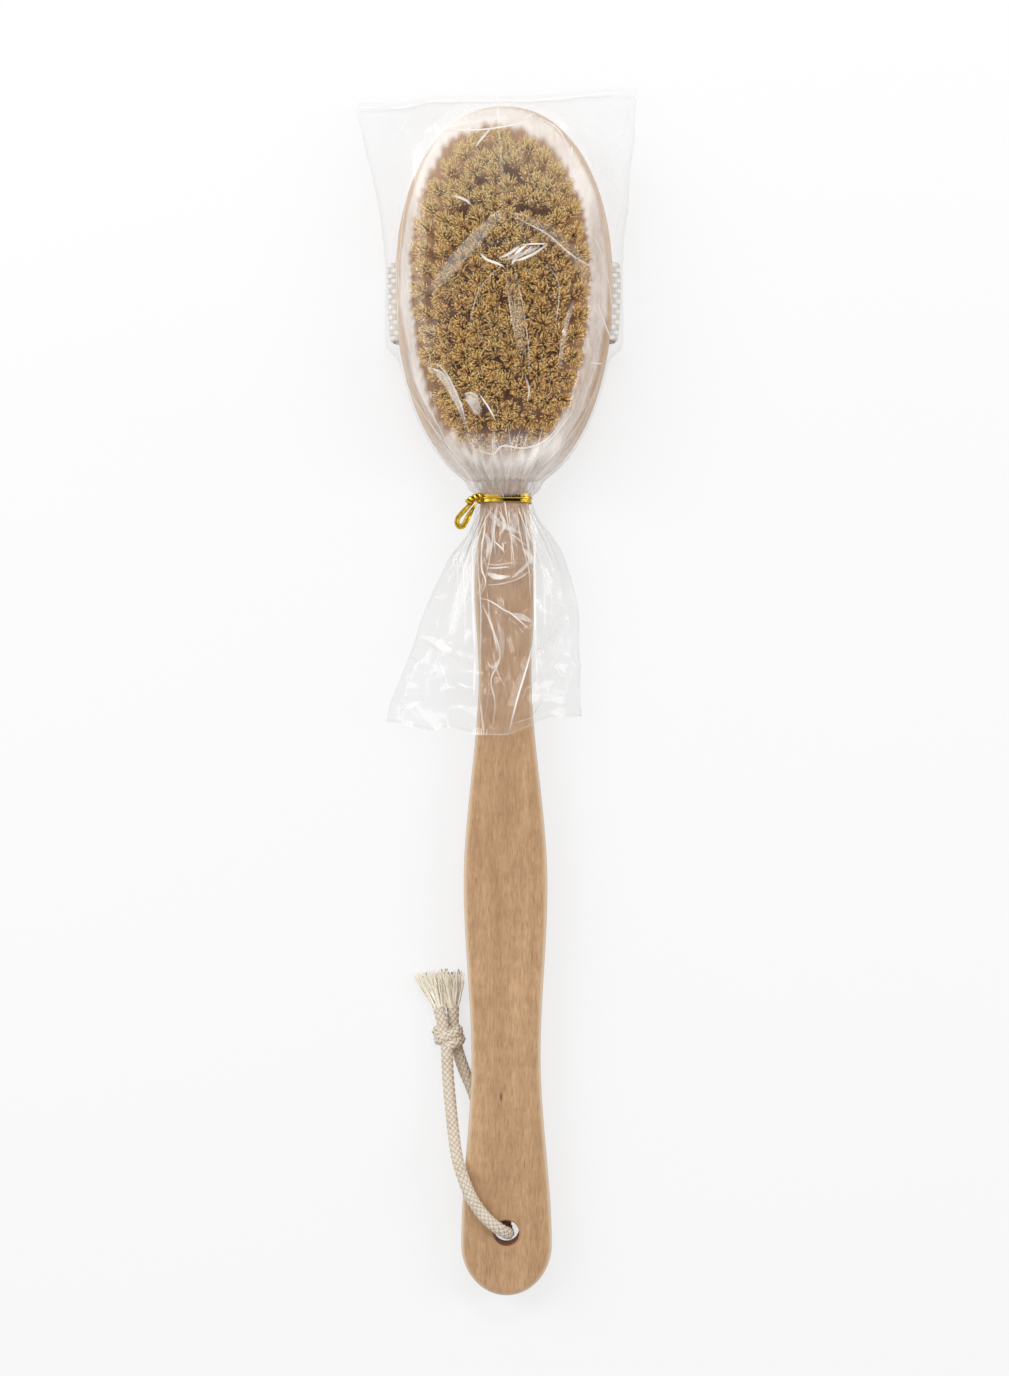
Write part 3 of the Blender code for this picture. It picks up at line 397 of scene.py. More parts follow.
def filmMaterial():
    made, tree, shader = newMaterial("clearFilm", {})
    here = place(tree)
    # The mesh carries the film's painted white, mostly painted reflection and highlight, partly its own milky haze; it
    # sets opacity, colour, metal and roughness here.
    veil = meshValue(tree, "veil")
    edge = addNode(tree, "ShaderNodeLayerWeight", Blend=0.5).outputs["Facing"]
    edge = maths(tree, "POWER", edge, 3.0)
    alpha = maths(tree, "ADD", maths(tree, "MULTIPLY", edge, film["grazingAlpha"]), film["faceAlpha"])
    cloud = remap(tree, noise(tree, here, 60, 3.0), 0.4, 0.75, 0.0, 0.014)
    alpha = maths(tree, "ADD", alpha, cloud)
    streaks = noise(tree, stretched(tree, here, film["streaks"]), 1.0, 3.0, 0.6)
    swing = maths(tree, "MULTIPLY", remap(tree, veil, 0.14, 0.40, 0.0, 0.40), maths(tree, "SUBTRACT", 1.0, veil))
    swing = maths(tree, "MULTIPLY", swing, remap(tree, streaks, 0.33, 0.67, -0.42, 0.36))
    alpha = maths(tree, "ADD", alpha, maths(tree, "ADD", veil, swing), clamp=True)
    join(tree, alpha, shader.inputs["Alpha"])
    # The painted haze and reflection is white over the head, and grey on the loose skirt, where the film hangs clear.
    greyOnSkirt = remap(tree, apart(tree, here)["Y"], *film["greyHazeBelow"], 0.10, 0.0)
    whiter = remap(tree, maths(tree, "SUBTRACT", veil, greyOnSkirt), 0.03, 0.15)
    join(tree, blendColours(tree, whiter, film["clear"], film["white"]), shader.inputs["Base Color"])
    join(tree, remap(tree, veil, 0.0, 0.3, 0.42, 0.03), shader.inputs["Metallic"])
    roughness = remap(tree, veil, 0.10, 0.50, film["roughness"], film["milkyRoughness"])
    join(tree, roughness, shader.inputs["Roughness"])
    height = noise(tree, stretched(tree, here, film["ripples"]), 1.0, 2.0)
    relief(tree, shader, height, 0.00004, 0.45)
    return made


# The third colour is near black: painted shade and dark reflection beside the wire's ridge and along the loop's
# middle.
gold = dict(dull=(0.46, 0.28, 0.022), bright=(0.70, 0.49, 0.065), hollow=(0.014, 0.007, 0.002))


def foilMaterial():
    made, tree, shader = newMaterial("goldFoil", {"Metallic": 1.0})
    rub = noise(tree, place(tree), 900, 3.0)
    colour = blendColours(tree, remap(tree, rub, 0.35, 0.7), gold["dull"], gold["bright"])
    # Where the mesh says, the foil goes near black: painted shade and dark reflection.
    join(tree, blendColours(tree, meshValue(tree, "hollow"), colour, gold["hollow"]), shader.inputs["Base Color"])
    join(tree, remap(tree, rub, 0.3, 0.7, 0.16, 0.34), shader.inputs["Roughness"])
    relief(tree, shader, rub, 0.00008, 0.7)
    return made


pins = dict(
    names=("strap_pin_left_lower", "strap_pin_left_upper", "strap_pin_right_lower", "strap_pin_right_upper"),
    dull=(0.46, 0.46, 0.47),
    bright=(0.66, 0.66, 0.67),
)


def steelMaterial():
    made, tree, shader = newMaterial("pinSteel", {"Metallic": 1.0})
    rub = noise(tree, stretched(tree, place(tree), (600, 600, 4000)), 1.0, 3.0)
    join(tree, blendColours(tree, rub, pins["dull"], pins["bright"]), shader.inputs["Base Color"])
    join(tree, remap(tree, rub, 0.3, 0.7, 0.28, 0.42), shader.inputs["Roughness"])
    return made


def bridge(first, second, count):
    return [(first + i, first + (i + 1) % count, second + (i + 1) % count, second + i) for i in range(count)]


def addPiece(name, points, faces, material, smoothBelow=None, recalculate=True):
    mesh = bpy.data.meshes.new(name)
    mesh.from_pydata([tuple(p) for p in points], [], faces)
    if recalculate:
        shape = bmesh.new()
        shape.from_mesh(mesh)
        bmesh.ops.recalc_face_normals(shape, faces=shape.faces)
        shape.to_mesh(mesh)
        shape.free()
    if smoothBelow is not None:
        mesh.shade_smooth()
        mesh.set_sharp_from_angle(angle=math.radians(smoothBelow))
    mesh.materials.append(material)
    made = bpy.data.objects.new(name, mesh)
    scene.collection.objects.link(made)
    return made


def loft(rings, cap=None):
    count = len(rings[0])
    cap = cap or [tuple(range(count))]
    points = [p for ring in rings for p in ring]
    far = len(points) - count
    faces = cap + [tuple(far + i for i in face) for face in cap]
    for i in range(len(rings) - 1):
        faces += bridge(i * count, (i + 1) * count, count)
    return points, faces


def cut(target, name, points, faces, operation="DIFFERENCE"):
    tool = addPiece(name, points, faces, target.data.materials[0])
    modifier = target.modifiers.new(name, "BOOLEAN")
    modifier.object = tool
    modifier.operation = operation
    modifier.solver = "EXACT"
    return tool


def setValues(piece, name, values):
    layer = piece.data.attributes.new(name, "FLOAT", "POINT")
    layer.data.foreach_set("value", np.array(values, np.float32).ravel())


def settle(target, tools=(), smoothBelow=None):
    # Turns a piece with modifiers into its plain mesh
    graph = bpy.context.evaluated_depsgraph_get()
    mesh = bpy.data.meshes.new_from_object(target.evaluated_get(graph), preserve_all_data_layers=True, depsgraph=graph)
    target.modifiers.clear()
    target.data = mesh
    if smoothBelow is not None:
        mesh.shade_smooth()
        mesh.set_sharp_from_angle(angle=math.radians(smoothBelow))
    for tool in tools:
        bpy.data.objects.remove(tool)
    return target


def boxShape(low, high):
    points = [(x, y, z) for x in (low[0], high[0]) for y in (low[1], high[1]) for z in (low[2], high[2])]
    return points, [(0, 1, 3, 2), (4, 5, 7, 6), (0, 1, 5, 4), (2, 3, 7, 6), (0, 2, 6, 4), (1, 3, 7, 5)]


def rodShape(centre, stages, sides):
    turns = [2 * math.pi * i / sides for i in range(sides)]
    rings = [
        [(centre[0] + radius * math.cos(t), centre[1] + radius * math.sin(t), height) for t in turns]
        for height, radius in stages
    ]
    return loft(rings)


def roundedEdge(edgeZ, inward, radius, steps=6):
    turns = [math.pi / 2 * i / steps for i in range(steps + 1)]
    return [(edgeZ + inward * radius * (1 - math.cos(t)), radius * (1 - math.sin(t))) for t in turns]


def dress(piece, body, slot, *nodes):
    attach(piece, body)
    if nodes:
        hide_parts(*nodes)
    return piece


handle = dict(
    length=0.2877,
    thickness=0.011,
    rest=0.005,
    rounding=0.0022,
    endCurve=0.018,
    turns=((0.018, 0.016), (0.084, 0.0122), (0.145, 0.0148), (0.220, 0.0093), (0.251, 0.0107), (0.2877, 0.0082)),
    sideStep=0.0025,
    holePlace=0.0222,
    holeRadius=0.0045,
    holeChamfer=0.0006,
    holeSides=48,
    endSteps=22,
    tongue=(0.036, 0.011, 0.0054, 0.0092),  # length, width, thickness, height of its middle
)
# The gap round a tongue or a strap's end, the room past a tongue, and how far a cutting shape stands out
fits = dict(gap=0.0003, room=0.0015, past=0.002)
sharpAbove = 32  # degrees, in the wood


def handleHalfWidth(along):
    curve, turns = handle["endCurve"], handle["turns"]
    if along < curve:
        return turns[0][1] * math.sqrt(max(0.0, 1 - (1 - along / curve) ** 2))
    for (start, first), (stop, last) in zip(turns, turns[1:]):
        if along <= stop:
            share = (along - start) / (stop - start)
            return first + (last - first) * share**2 * (3 - 2 * share)
    return turns[-1][1]


def handleOutline():
    curve, length = handle["endCurve"], handle["length"]
    side = []
    for i in range(1, handle["endSteps"]):
        along = curve * (1 - math.cos(math.pi / 2 * i / handle["endSteps"]))
        side.append((handleHalfWidth(along), along))
    steps = round((length - curve) / handle["sideStep"])
    for i in range(steps + 1):
        along = curve + (length - curve) * i / steps
        side.append((handleHalfWidth(along), along))
    return [(0.0, 0.0)] + side + [(-x, y) for x, y in side[::-1]]


def insetOutline(outline, inset, height):
    length, shoulder = handle["length"], handle["turns"][-1][1]
    ring = []
    for i, point in enumerate(outline):
        before, after = Vector(outline[i - 1]), Vector(outline[(i + 1) % len(outline)])
        along = (after - before).normalized()
        moved = Vector(point) + Vector((-along.y, along.x)) * inset
        if abs(point[1] - length) < 1e-9:
            moved = Vector((math.copysign(shoulder - inset, point[0]), length))
        ring.append((moved.x, endY + min(moved.y, length), height))
    return ring


def makeHandle(material):
    outline = handleOutline()
    low, high = handle["rest"], handle["rest"] + handle["thickness"]
    edges = roundedEdge(low, 1, handle["rounding"]) + roundedEdge(high, -1, handle["rounding"])[::-1]
    rings = [insetOutline(outline, inset, height) for height, inset in edges]
    count = len(outline)
    strips = [(i, i + 1, count - i - 1, count - i) for i in range(1, count // 2)]
    piece = addPiece("woodHandle", *loft(rings, [(0, 1, count - 1)] + strips), material)

    length, width, thick, middle = handle["tongue"]
    shoulder = endY + handle["length"]
    past = fits["past"]
    tongue = boxShape(
        (-width / 2, shoulder - past, middle - thick / 2), (width / 2, shoulder + length, middle + thick / 2)
    )
    tools = [cut(piece, "tongueShape", *tongue, "UNION")]
    radius, chamfer = handle["holeRadius"], handle["holeChamfer"]
    stages = ((low - past, radius + chamfer + past), (low + chamfer, radius), (high - chamfer, radius),
              (high + past, radius + chamfer + past))
    tools.append(cut(piece, "holeShape", *rodShape((0, endY + handle["holePlace"]), stages, handle["holeSides"])))
    settle(piece, tools, sharpAbove)
    return dress(piece, "handle", "beech", "handle")


head = dict(
    halfWidth=0.0385,
    topRise=0.0634,
    bellyDrop=0.0712,
    topPower=2.15,
    bellyPower=2.1,
    back=0.0028,
    face=0.0178,
    frontRounding=0.0034,
    backRounding=0.0036,
    roundingSteps=7,
    points=220,
    beyond=0.05,  # farther out than the head reaches on any side of its square end
)
strap = dict(y=0.1385, width=0.0275, thickness=0.002, slotZ=0.0145, tuck=0.0066, z=0.0015, halfSpan=0.0416,
             topBend=0.0024, bottomBend=0.0064)


def signedPower(value, power):
    return math.copysign(abs(value) ** power, value)


def eggHalf(above):
    # How far the head's upper or lower half reaches, and how square its oval is
    return (head["topRise"], head["topPower"]) if above else (head["bellyDrop"], head["bellyPower"])


def eggRing(inset, height, count):
    ring = []
    for i in range(count):
        turn = 2 * math.pi * (i + 0.5) / count
        reach, power = eggHalf(math.sin(turn) > 0)
        x = (head["halfWidth"] - inset) * signedPower(math.cos(turn), 2 / power)
        ring.append((x, widestY + (reach - inset) * signedPower(math.sin(turn), 2 / power), height))
    return ring


def eggHalfWidth(y):
    reach, power = eggHalf(y > widestY)
    along = min(1.0, abs(y - widestY) / reach)
    return head["halfWidth"] * (1 - along**power) ** (1 / power)


def makeHead(material):
    edges = roundedEdge(head["back"], 1, head["backRounding"], head["roundingSteps"])
    edges += roundedEdge(head["face"], -1, head["frontRounding"], head["roundingSteps"])[::-1]
    rings = [eggRing(inset, height, head["points"]) for height, inset in edges]
    piece = addPiece("woodHead", *loft(rings), material)
    beyond, gap, past = head["beyond"], fits["gap"], fits["past"]
    tools = [cut(piece, "endCut", *boxShape((-beyond, -0.01, -beyond), (beyond, headEndY, beyond)))]
    length, width, thick, middle = handle["tongue"]
    half, tall = width / 2 + gap, thick / 2 + gap
    far = headEndY + length + fits["room"]
    socket = boxShape((-half, headEndY - past, middle - tall), (half, far, middle + tall))
    tools.append(cut(piece, "socketShape", *socket))
    tall, wide = strap["thickness"] / 2 + gap, strap["width"] / 2 + gap
    inner = head["halfWidth"] - strap["tuck"] - gap
    for side, name in ((-1, "slotLeft"), (1, "slotRight")):
        near, far = sorted((side * inner, side * (head["halfWidth"] + past)))
        low = (near, strap["y"] - wide, strap["slotZ"] - tall)
        high = (far, strap["y"] + wide, strap["slotZ"] + tall)
        tools.append(cut(piece, name, *boxShape(low, high)))
    settle(piece, tools, sharpAbove)
    return dress(piece, "head", "beech", "head_block")


bristles = dict(
    rowPitch=0.0056,
    rowsEachSide=5,
    tuftPitch=0.0064,  # between the tufts of the outermost row
    nearest=0.0050,  # between other tufts
    halfWidth=0.0250,
    top=(0.0464, 2.2),  # reach from the widest place, and how square the oval is
    belly=(0.0562, 2.15),
    perTuft=150,
    rootRadius=0.0012,
    tipSpread=0.0025,
    dome=0.0012,  # how much shorter a tuft is at its side
    length=0.0170,
    lengthSpread=0.0022,
    thickness=0.000125,
    taper=0.0,
    curl=0.0014,
    curlScale=110.0,
    opening=3.2,  # how late on its way up a tuft opens
    steps=6,
    sides=4,
    sideLean=0.115,
    endLean=0.065,
    leanSpread=0.0010,
    leanLeft=0.0010,
    turnStep=0.02,  # how finely a row is walked in search of its next place
    startSpread=0.12,
    fillStep=0.0008,
    fillNearest=0.0045,
    fillWithin=0.96,
    scatter=0.0004,
    sunk=0.0004,
    seed=11,
)
# The tree's inputs, with the names that they have in a piece's dictionary
strandInputs = (
    ("Strands per Tuft", "Int", "perTuft"), ("Root Radius", "Float", "rootRadius"),
    ("Tip Spread", "Float", "tipSpread"), ("Length", "Float", "length"), ("Length Spread", "Float", "lengthSpread"),
    ("Thickness", "Float", "thickness"), ("Taper", "Float", "taper"), ("Curl", "Float", "curl"),
    ("Curl Scale", "Float", "curlScale"), ("Opening", "Float", "opening"), ("Dome", "Float", "dome"),
    ("Steps", "Int", "steps"), ("Sides", "Int", "sides"), ("Seed", "Int", "seed"), ("Finish", "Material", "finish"),
)
workingLayers = ("outward", "sway", "root", "tall", "lean", "grow")  # not needed once the strands are made


def makeStrandTree():
    # Strands that grow from points. Each point says which way it grows and how far its tips lean.
    tree = bpy.data.node_groups.new("growStrands", "GeometryNodeTree")
    face = tree.interface
    face.new_socket(name="Geometry", in_out="INPUT", socket_type="NodeSocketGeometry")
    sockets = {}
    for label, kind, name in strandInputs:
        sockets[name] = face.new_socket(name=label, in_out="INPUT", socket_type="NodeSocket" + kind).identifier
    face.new_socket(name="Geometry", in_out="OUTPUT", socket_type="NodeSocketGeometry")
    given = tree.nodes.new("NodeGroupInput").outputs
    result = tree.nodes.new("NodeGroupOutput")

    def flow(kind, source=None, **settings):
        node = addNode(tree, kind, **settings)
        if source is not None:
            join(tree, source, node.inputs[0])
        return node

    def vector(operation, a, b=None, scale=None):
        node = addNode(tree, "ShaderNodeVectorMath", operation=operation)
        join(tree, a, node.inputs[0])
        if b is not None:
            join(tree, b, node.inputs[1])
        if scale is not None:
            join(tree, scale, node.inputs["Scale"])
        return node.outputs["Value" if operation == "DOT_PRODUCT" else 0]

    def chance(low, high, salt):
        node = addNode(tree, "FunctionNodeRandomValue")
        node.inputs[2].default_value, node.inputs[3].default_value = low, high
        join(tree, maths(tree, "ADD", given["Seed"], salt), node.inputs["Seed"])
        return node.outputs[1]

    def keep(geometry, name, value, kind="FLOAT_VECTOR"):
        node = flow("GeometryNodeStoreNamedAttribute", geometry, data_type=kind, domain="POINT")
        node.inputs["Name"].default_value = name
        socket = [s for s in node.inputs if s.name == "Value" and s.enabled][0]
        join(tree, value, socket)
        return node.outputs[0]

    def recall(name, kind="FLOAT_VECTOR"):
        node = flow("GeometryNodeInputNamedAttribute", data_type=kind)
        node.inputs["Name"].default_value = name
        return [s for s in node.outputs if s.name == "Attribute" and s.enabled][0]

    points = flow("GeometryNodeMeshToPoints", given["Geometry"]).outputs[0]
    many = flow("GeometryNodeDuplicateElements", points, domain="POINT")
    join(tree, given["Strands per Tuft"], many.inputs["Amount"])
    turn = chance(0, 2 * math.pi, 1)
    far = maths(tree, "SQRT", chance(0.02, 1, 2))
    disc = addNode(tree, "ShaderNodeCombineXYZ")
    join(tree, maths(tree, "MULTIPLY", maths(tree, "COSINE", turn), far), disc.inputs[0])
    join(tree, maths(tree, "MULTIPLY", maths(tree, "SINE", turn), far), disc.inputs[1])
    facing = addNode(tree, "FunctionNodeAlignRotationToVector", axis="Z")
    join(tree, recall("grow"), facing.inputs["Vector"])
    spin = addNode(tree, "FunctionNodeRotateVector")
    join(tree, disc.outputs[0], spin.inputs[0])
    join(tree, facing.outputs[0], spin.inputs[1])
    out = spin.outputs[0]
    geometry = keep(many.outputs[0], "outward", out)
    kept = recall("outward")
    moved = flow("GeometryNodeSetPosition", geometry)
    join(tree, vector("SCALE", kept, scale=given["Root Radius"]), moved.inputs["Offset"])
    geometry = keep(moved.outputs[0], "sway", vector("SCALE", kept, scale=given["Tip Spread"]))
    tall = maths(tree, "SUBTRACT", given["Length"], maths(tree, "MULTIPLY", chance(0, 1, 3), given["Length Spread"]))
    fall = maths(tree, "MULTIPLY", given["Dome"], vector("DOT_PRODUCT", kept, kept))
    geometry = keep(geometry, "tall", maths(tree, "SUBTRACT", tall, fall), "FLOAT")
    geometry = keep(geometry, "shade", chance(0, 1, 4), "FLOAT")
    geometry = keep(geometry, "root", addNode(tree, "GeometryNodeInputPosition").outputs[0])

    line = flow("GeometryNodeCurvePrimitiveLine")
    line.inputs["End"].default_value = (0, 0, 1)
    steps = flow("GeometryNodeResampleCurve", line.outputs[0])
    join(tree, given["Steps"], steps.inputs["Count"])
    grown = flow("GeometryNodeInstanceOnPoints", geometry)
    join(tree, steps.outputs[0], grown.inputs["Instance"])
    real = flow("GeometryNodeRealizeInstances", grown.outputs[0])
    along = addNode(tree, "GeometryNodeSplineParameter").outputs["Factor"]
    rise = vector("SCALE", recall("grow"), scale=maths(tree, "MULTIPLY", recall("tall", "FLOAT"), along))
    opened = vector("SCALE", recall("sway"), scale=maths(tree, "POWER", along, given["Opening"]))
    bend = vector("ADD", opened, vector("SCALE", recall("lean"), scale=along))
    wander = addNode(tree, "ShaderNodeTexNoise", Detail=0.0)
    join(tree, given["Curl Scale"], wander.inputs["Scale"])
    # The noise is read far apart for each strand, so that neighbours curl their own way.
    join(tree, vector("ADD", vector("SCALE", recall("root"), scale=40.0), rise), wander.inputs["Vector"])
    centred = vector("SUBTRACT", wander.outputs["Color"], (0.5, 0.5, 0.5))
    curl = vector("SCALE", centred, scale=maths(tree, "MULTIPLY", given["Curl"], along))
    spot = vector("ADD", vector("ADD", recall("root"), rise), vector("ADD", bend, curl))
    placed = flow("GeometryNodeSetPosition", real.outputs[0])
    join(tree, spot, placed.inputs["Position"])
    profile = addNode(tree, "GeometryNodeCurvePrimitiveCircle")
    join(tree, given["Sides"], profile.inputs["Resolution"])
    profile.inputs["Radius"].default_value = 1.0
    solid = flow("GeometryNodeCurveToMesh", placed.outputs[0])
    join(tree, profile.outputs[0], solid.inputs["Profile Curve"])
    thin = maths(tree, "SUBTRACT", 1.0, maths(tree, "MULTIPLY", along, given["Taper"]))
    join(tree, maths(tree, "MULTIPLY", given["Thickness"], thin), solid.inputs["Scale"])
    solid.inputs["Fill Caps"].default_value = True
    facets = flow("GeometryNodeSetShadeSmooth", solid.outputs[0])
    facets.inputs["Shade Smooth"].default_value = False
    done = flow("GeometryNodeRealizeInstances", facets.outputs[0])
    finished = flow("GeometryNodeSetMaterial", done.outputs[0])
    join(tree, given["Finish"], finished.inputs["Material"])
    join(tree, finished.outputs[0], result.inputs[0])
    return tree, sockets


def growStrands(name, roots, leans, directions, strands, values):
    tree, sockets = strands
    mesh = bpy.data.meshes.new(name)
    mesh.from_pydata([tuple(r) for r in roots], [], [])
    for label, rows in (("lean", leans), ("grow", directions)):
        layer = mesh.attributes.new(label, "FLOAT_VECTOR", "POINT")
        layer.data.foreach_set("vector", np.array(rows, np.float32).ravel())
    piece = bpy.data.objects.new(name, mesh)
    scene.collection.objects.link(piece)
    modifier = piece.modifiers.new("strands", "NODES")
    modifier.node_group = tree
    for label, socket in sockets.items():
        modifier[socket] = values[label]
    settle(piece)
    for layer in [a.name for a in piece.data.attributes if a.name in workingLayers]:
        piece.data.attributes.remove(piece.data.attributes[layer])
    return piece


def fieldHalf(above):
    # How far the field's upper or lower half reaches, and how square its oval is
    return bristles["top"] if above else bristles["belly"]


def tuftPlaces():
    # Rows that follow the field's oval at its sides and run straight in its middle
    chance = random.Random(bristles["seed"])
    many, places = bristles["rowsEachSide"], []
    halfWidth, step = bristles["halfWidth"], bristles["fillStep"]
    for rank in range(many, 0, -1):
        share = (rank - 0.5) / (many - 0.5)
        for side in (-1, 1):
            start = bristles["turnStep"] if rank == many else chance.uniform(0.0, bristles["startSpread"])
            turn = -math.pi / 2 + start
            while turn < math.pi / 2:
                reach, power = fieldHalf(turn > 0)
                x = side * share * halfWidth * signedPower(math.cos(turn), 2 / power)
                y = widestY + reach * signedPower(math.sin(turn), 2 / power)
                turn += bristles["turnStep"]
                gap = bristles["nearest"] if rank < many else bristles["tuftPitch"]
                if all((x - a) ** 2 + (y - b) ** 2 > gap**2 for a, b in places):
                    places.append((x, y))
    # Fill the gaps that are left between the rows.
    for x in np.arange(-halfWidth, halfWidth, step):
        for y in np.arange(widestY - fieldHalf(False)[0], widestY + fieldHalf(True)[0], step):
            reach, power = fieldHalf(y > widestY)
            inside = (abs(x) / halfWidth) ** power + (abs(y - widestY) / reach) ** power < bristles["fillWithin"]
            if inside and all((x - a) ** 2 + (y - b) ** 2 > bristles["fillNearest"] ** 2 for a, b in places):
                places.append((float(x), float(y)))
    scatter = bristles["scatter"]
    return [(x + chance.uniform(-1, 1) * scatter, y + chance.uniform(-1, 1) * scatter) for x, y in places]


def makeBristles(strands, material):
    chance = random.Random(bristles["seed"])
    many, spread = bristles["rowsEachSide"], bristles["leanSpread"]
    rows = {row: [] for row in range(-many, many)}
    for x, y in tuftPlaces():
        rows[min(max(math.floor(x / bristles["rowPitch"]), -many), many - 1)].append((x, y))
    faces = 0
    for row, places in rows.items():
        roots = [(x, y, head["face"] - bristles["sunk"]) for x, y in places]
        # The tufts stand up in the middle and lean out more and more toward the field's edge.
        leans = []
        for x, y in places:
            out = min((x / bristles["halfWidth"]) ** 2 + ((y - widestY) / fieldHalf(y > widestY)[0]) ** 2, 1)
            sideways = x * bristles["sideLean"] * out - bristles["leanLeft"] + chance.uniform(-1, 1) * spread
            leans.append((sideways, (y - widestY) * bristles["endLean"] * out + chance.uniform(-1, 1) * spread, 0))
        values = {**bristles, "seed": bristles["seed"] * 20 + row, "finish": material}
        directions = [(0, 0, 1)] * len(places)
        piece = growStrands(f"bristleRow{row + many + 1}", roots, leans, directions, strands, values)
        dress(piece, "head", "bristle", f"bristle_row_{row + many + 1}")
        faces += len(piece.data.polygons)
    print("tufts", sum(len(places) for places in rows.values()), "bristle faces", faces)


weave = dict(
    rib=0.00183,
    pick=0.0017,
    depth=0.00026,
    step=0.00034,
    roundness=0.55,  # of a rib's section
    swing=0.38,  # how much of a rib's height goes up and down along it
    rimWidth=0.0007,
    rimDrop=0.0006,
    sunk=0.00022,
    hugFrom=0.030,  # past this the strap follows the head's side
    hugOver=0.008,
    topSteps=12,
    lowSteps=16,
)


def strapPath():
    # Out of the right slot, down the head's side, across its back and up again, as (x, z)
    outer, topBend, lowBend = strap["halfSpan"] - strap["thickness"] / 2, strap["topBend"], strap["bottomBend"]
    path = [(head["halfWidth"] - strap["tuck"], strap["slotZ"])]
    for i in range(weave["topSteps"] + 1):
        turn = math.pi / 2 * (1 - i / weave["topSteps"])
        path.append((outer - topBend * (1 - math.cos(turn)), strap["slotZ"] - topBend * (1 - math.sin(turn))))
    for i in range(weave["lowSteps"] + 1):
        turn = -math.pi / 2 * i / weave["lowSteps"]
        path.append((outer - lowBend * (1 - math.cos(turn)), strap["z"] + lowBend * (1 + math.sin(turn))))
    return path + [(-x, z) for x, z in path[::-1]]


def distances(line):
    # How far along a line each of its points is
    return np.concatenate([[0], np.cumsum(np.linalg.norm(np.diff(line, axis=0), axis=1))])


def unit(vectors):
    return vectors / np.linalg.norm(vectors, axis=1)[:, None]


def resample(line, step):
    line = np.array(line, float)
    along = distances(line)
    spots = np.linspace(0, along[-1], max(2, round(along[-1] / step) + 1))
    return np.stack([np.interp(spots, along, line[:, k]) for k in range(line.shape[1])], axis=1), spots


def makeStrap(material):
    line, along = resample(strapPath(), weave["step"])
    tangent = unit(np.gradient(line, axis=0))
    out = np.stack([tangent[:, 1], -tangent[:, 0]], axis=1)
    acrossCount = round(strap["width"] / weave["step"] * 1.1)
    across = np.linspace(0, strap["width"], acrossCount + 1)
    s, w = np.meshgrid(along, across, indexing="ij")
    ribs = np.abs(np.sin(np.pi * w / weave["rib"])) ** weave["roundness"]
    row = np.floor(w / weave["rib"])
    over = np.cos(np.pi * s / weave["pick"] + np.pi * (row % 2))
    depth = weave["depth"] * (ribs * (1 - weave["swing"] + weave["swing"] * over) * 2 - 1.1)
    rim = np.minimum(across, strap["width"] - across) / weave["rimWidth"]
    rim = np.clip(1 - rim, 0, 1)[None, :] * np.ones_like(s)
    half = strap["thickness"] / 2 - weave["sunk"]
    points, hollow = [], []
    for sign in (1, -1):
        lift = sign * (half + depth - rim * weave["rimDrop"])
        x = line[:, 0][:, None] + out[:, 0][:, None] * lift
        z = line[:, 1][:, None] + out[:, 1][:, None] * lift
        y = strap["y"] - strap["width"] / 2 + w
        hug = np.array([eggHalfWidth(float(v)) - head["halfWidth"] for v in y[0]])[None, :]
        x = x + np.sign(x) * np.clip((np.abs(x) - weave["hugFrom"]) / weave["hugOver"], 0, 1) * hug
        points.append(np.stack([x, y, z], axis=2).reshape(-1, 3))
        # The weave is painted darker in its hollows: painted shade.
        hollow.append(np.clip(0.30 - (depth / weave["depth"]) * 0.50, 0, 1).ravel())
    rows, columns = s.shape
    grid = np.arange(rows * columns).reshape(rows, columns)
    far = rows * columns
    quads = np.stack([grid[:-1, :-1], grid[1:, :-1], grid[1:, 1:], grid[:-1, 1:]], axis=2).reshape(-1, 4)
    faces = [tuple(q) for q in quads.tolist()] + [tuple(far + i for i in q[::-1]) for q in quads.tolist()]
    edge = list(grid[0, :]) + list(grid[1:, -1]) + list(grid[-1, -2::-1]) + list(grid[-2:0:-1, 0])
    for a, b in zip(edge, edge[1:] + edge[:1]):
        faces.append((int(a), int(b), int(b) + far, int(a) + far))
    piece = addPiece("wovenStrap", np.concatenate(points), faces, material, 60)
    setValues(piece, "hollow", np.concatenate(hollow))
    return dress(piece, "head", "webbing", "hand_strap")


cord = dict(
    diameter=0.0045,
    strands=6,
    pitch=0.0128,
    strandWidth=0.00150,
    strandHeight=0.00088,
    weaveDepth=0.00030,
    step=0.00030,
    strandSides=6,
    coreSides=10,
    curveSteps=12,
)
# The cord's own route from the knot over the handle's face, down through the hole and back under it
cordRoute = (
    (-0.0211, 0.0885, 0.0068), (-0.0210, 0.0849, 0.0074), (-0.0206, 0.0760, 0.0078), (-0.0197, 0.0660, 0.0092),
    (-0.0186, 0.0565, 0.0124), (-0.0173, 0.0490, 0.0160), (-0.0154, 0.0428, 0.0184), (-0.0128, 0.0364, 0.0190),
    (-0.0093, 0.0308, 0.0190), (-0.0056, 0.0267, 0.0188), (-0.0029, 0.0245, 0.0181), (-0.0007, 0.0228, 0.0159),
    (0.0005, 0.0217, 0.0127), (0.0005, 0.0214, 0.0105), (0.0003, 0.0216, 0.0084), (-0.0002, 0.0231, 0.0052),
    (-0.0009, 0.0258, 0.0030), (-0.0017, 0.0292, 0.0023), (-0.0032, 0.0350, 0.00225), (-0.0054, 0.0440, 0.00225),
    (-0.0083, 0.0570, 0.00225), (-0.0114, 0.0690, 0.00225), (-0.0152, 0.0785, 0.00225), (-0.0173, 0.0849, 0.00225),
    (-0.0180, 0.0885, 0.0027),
)
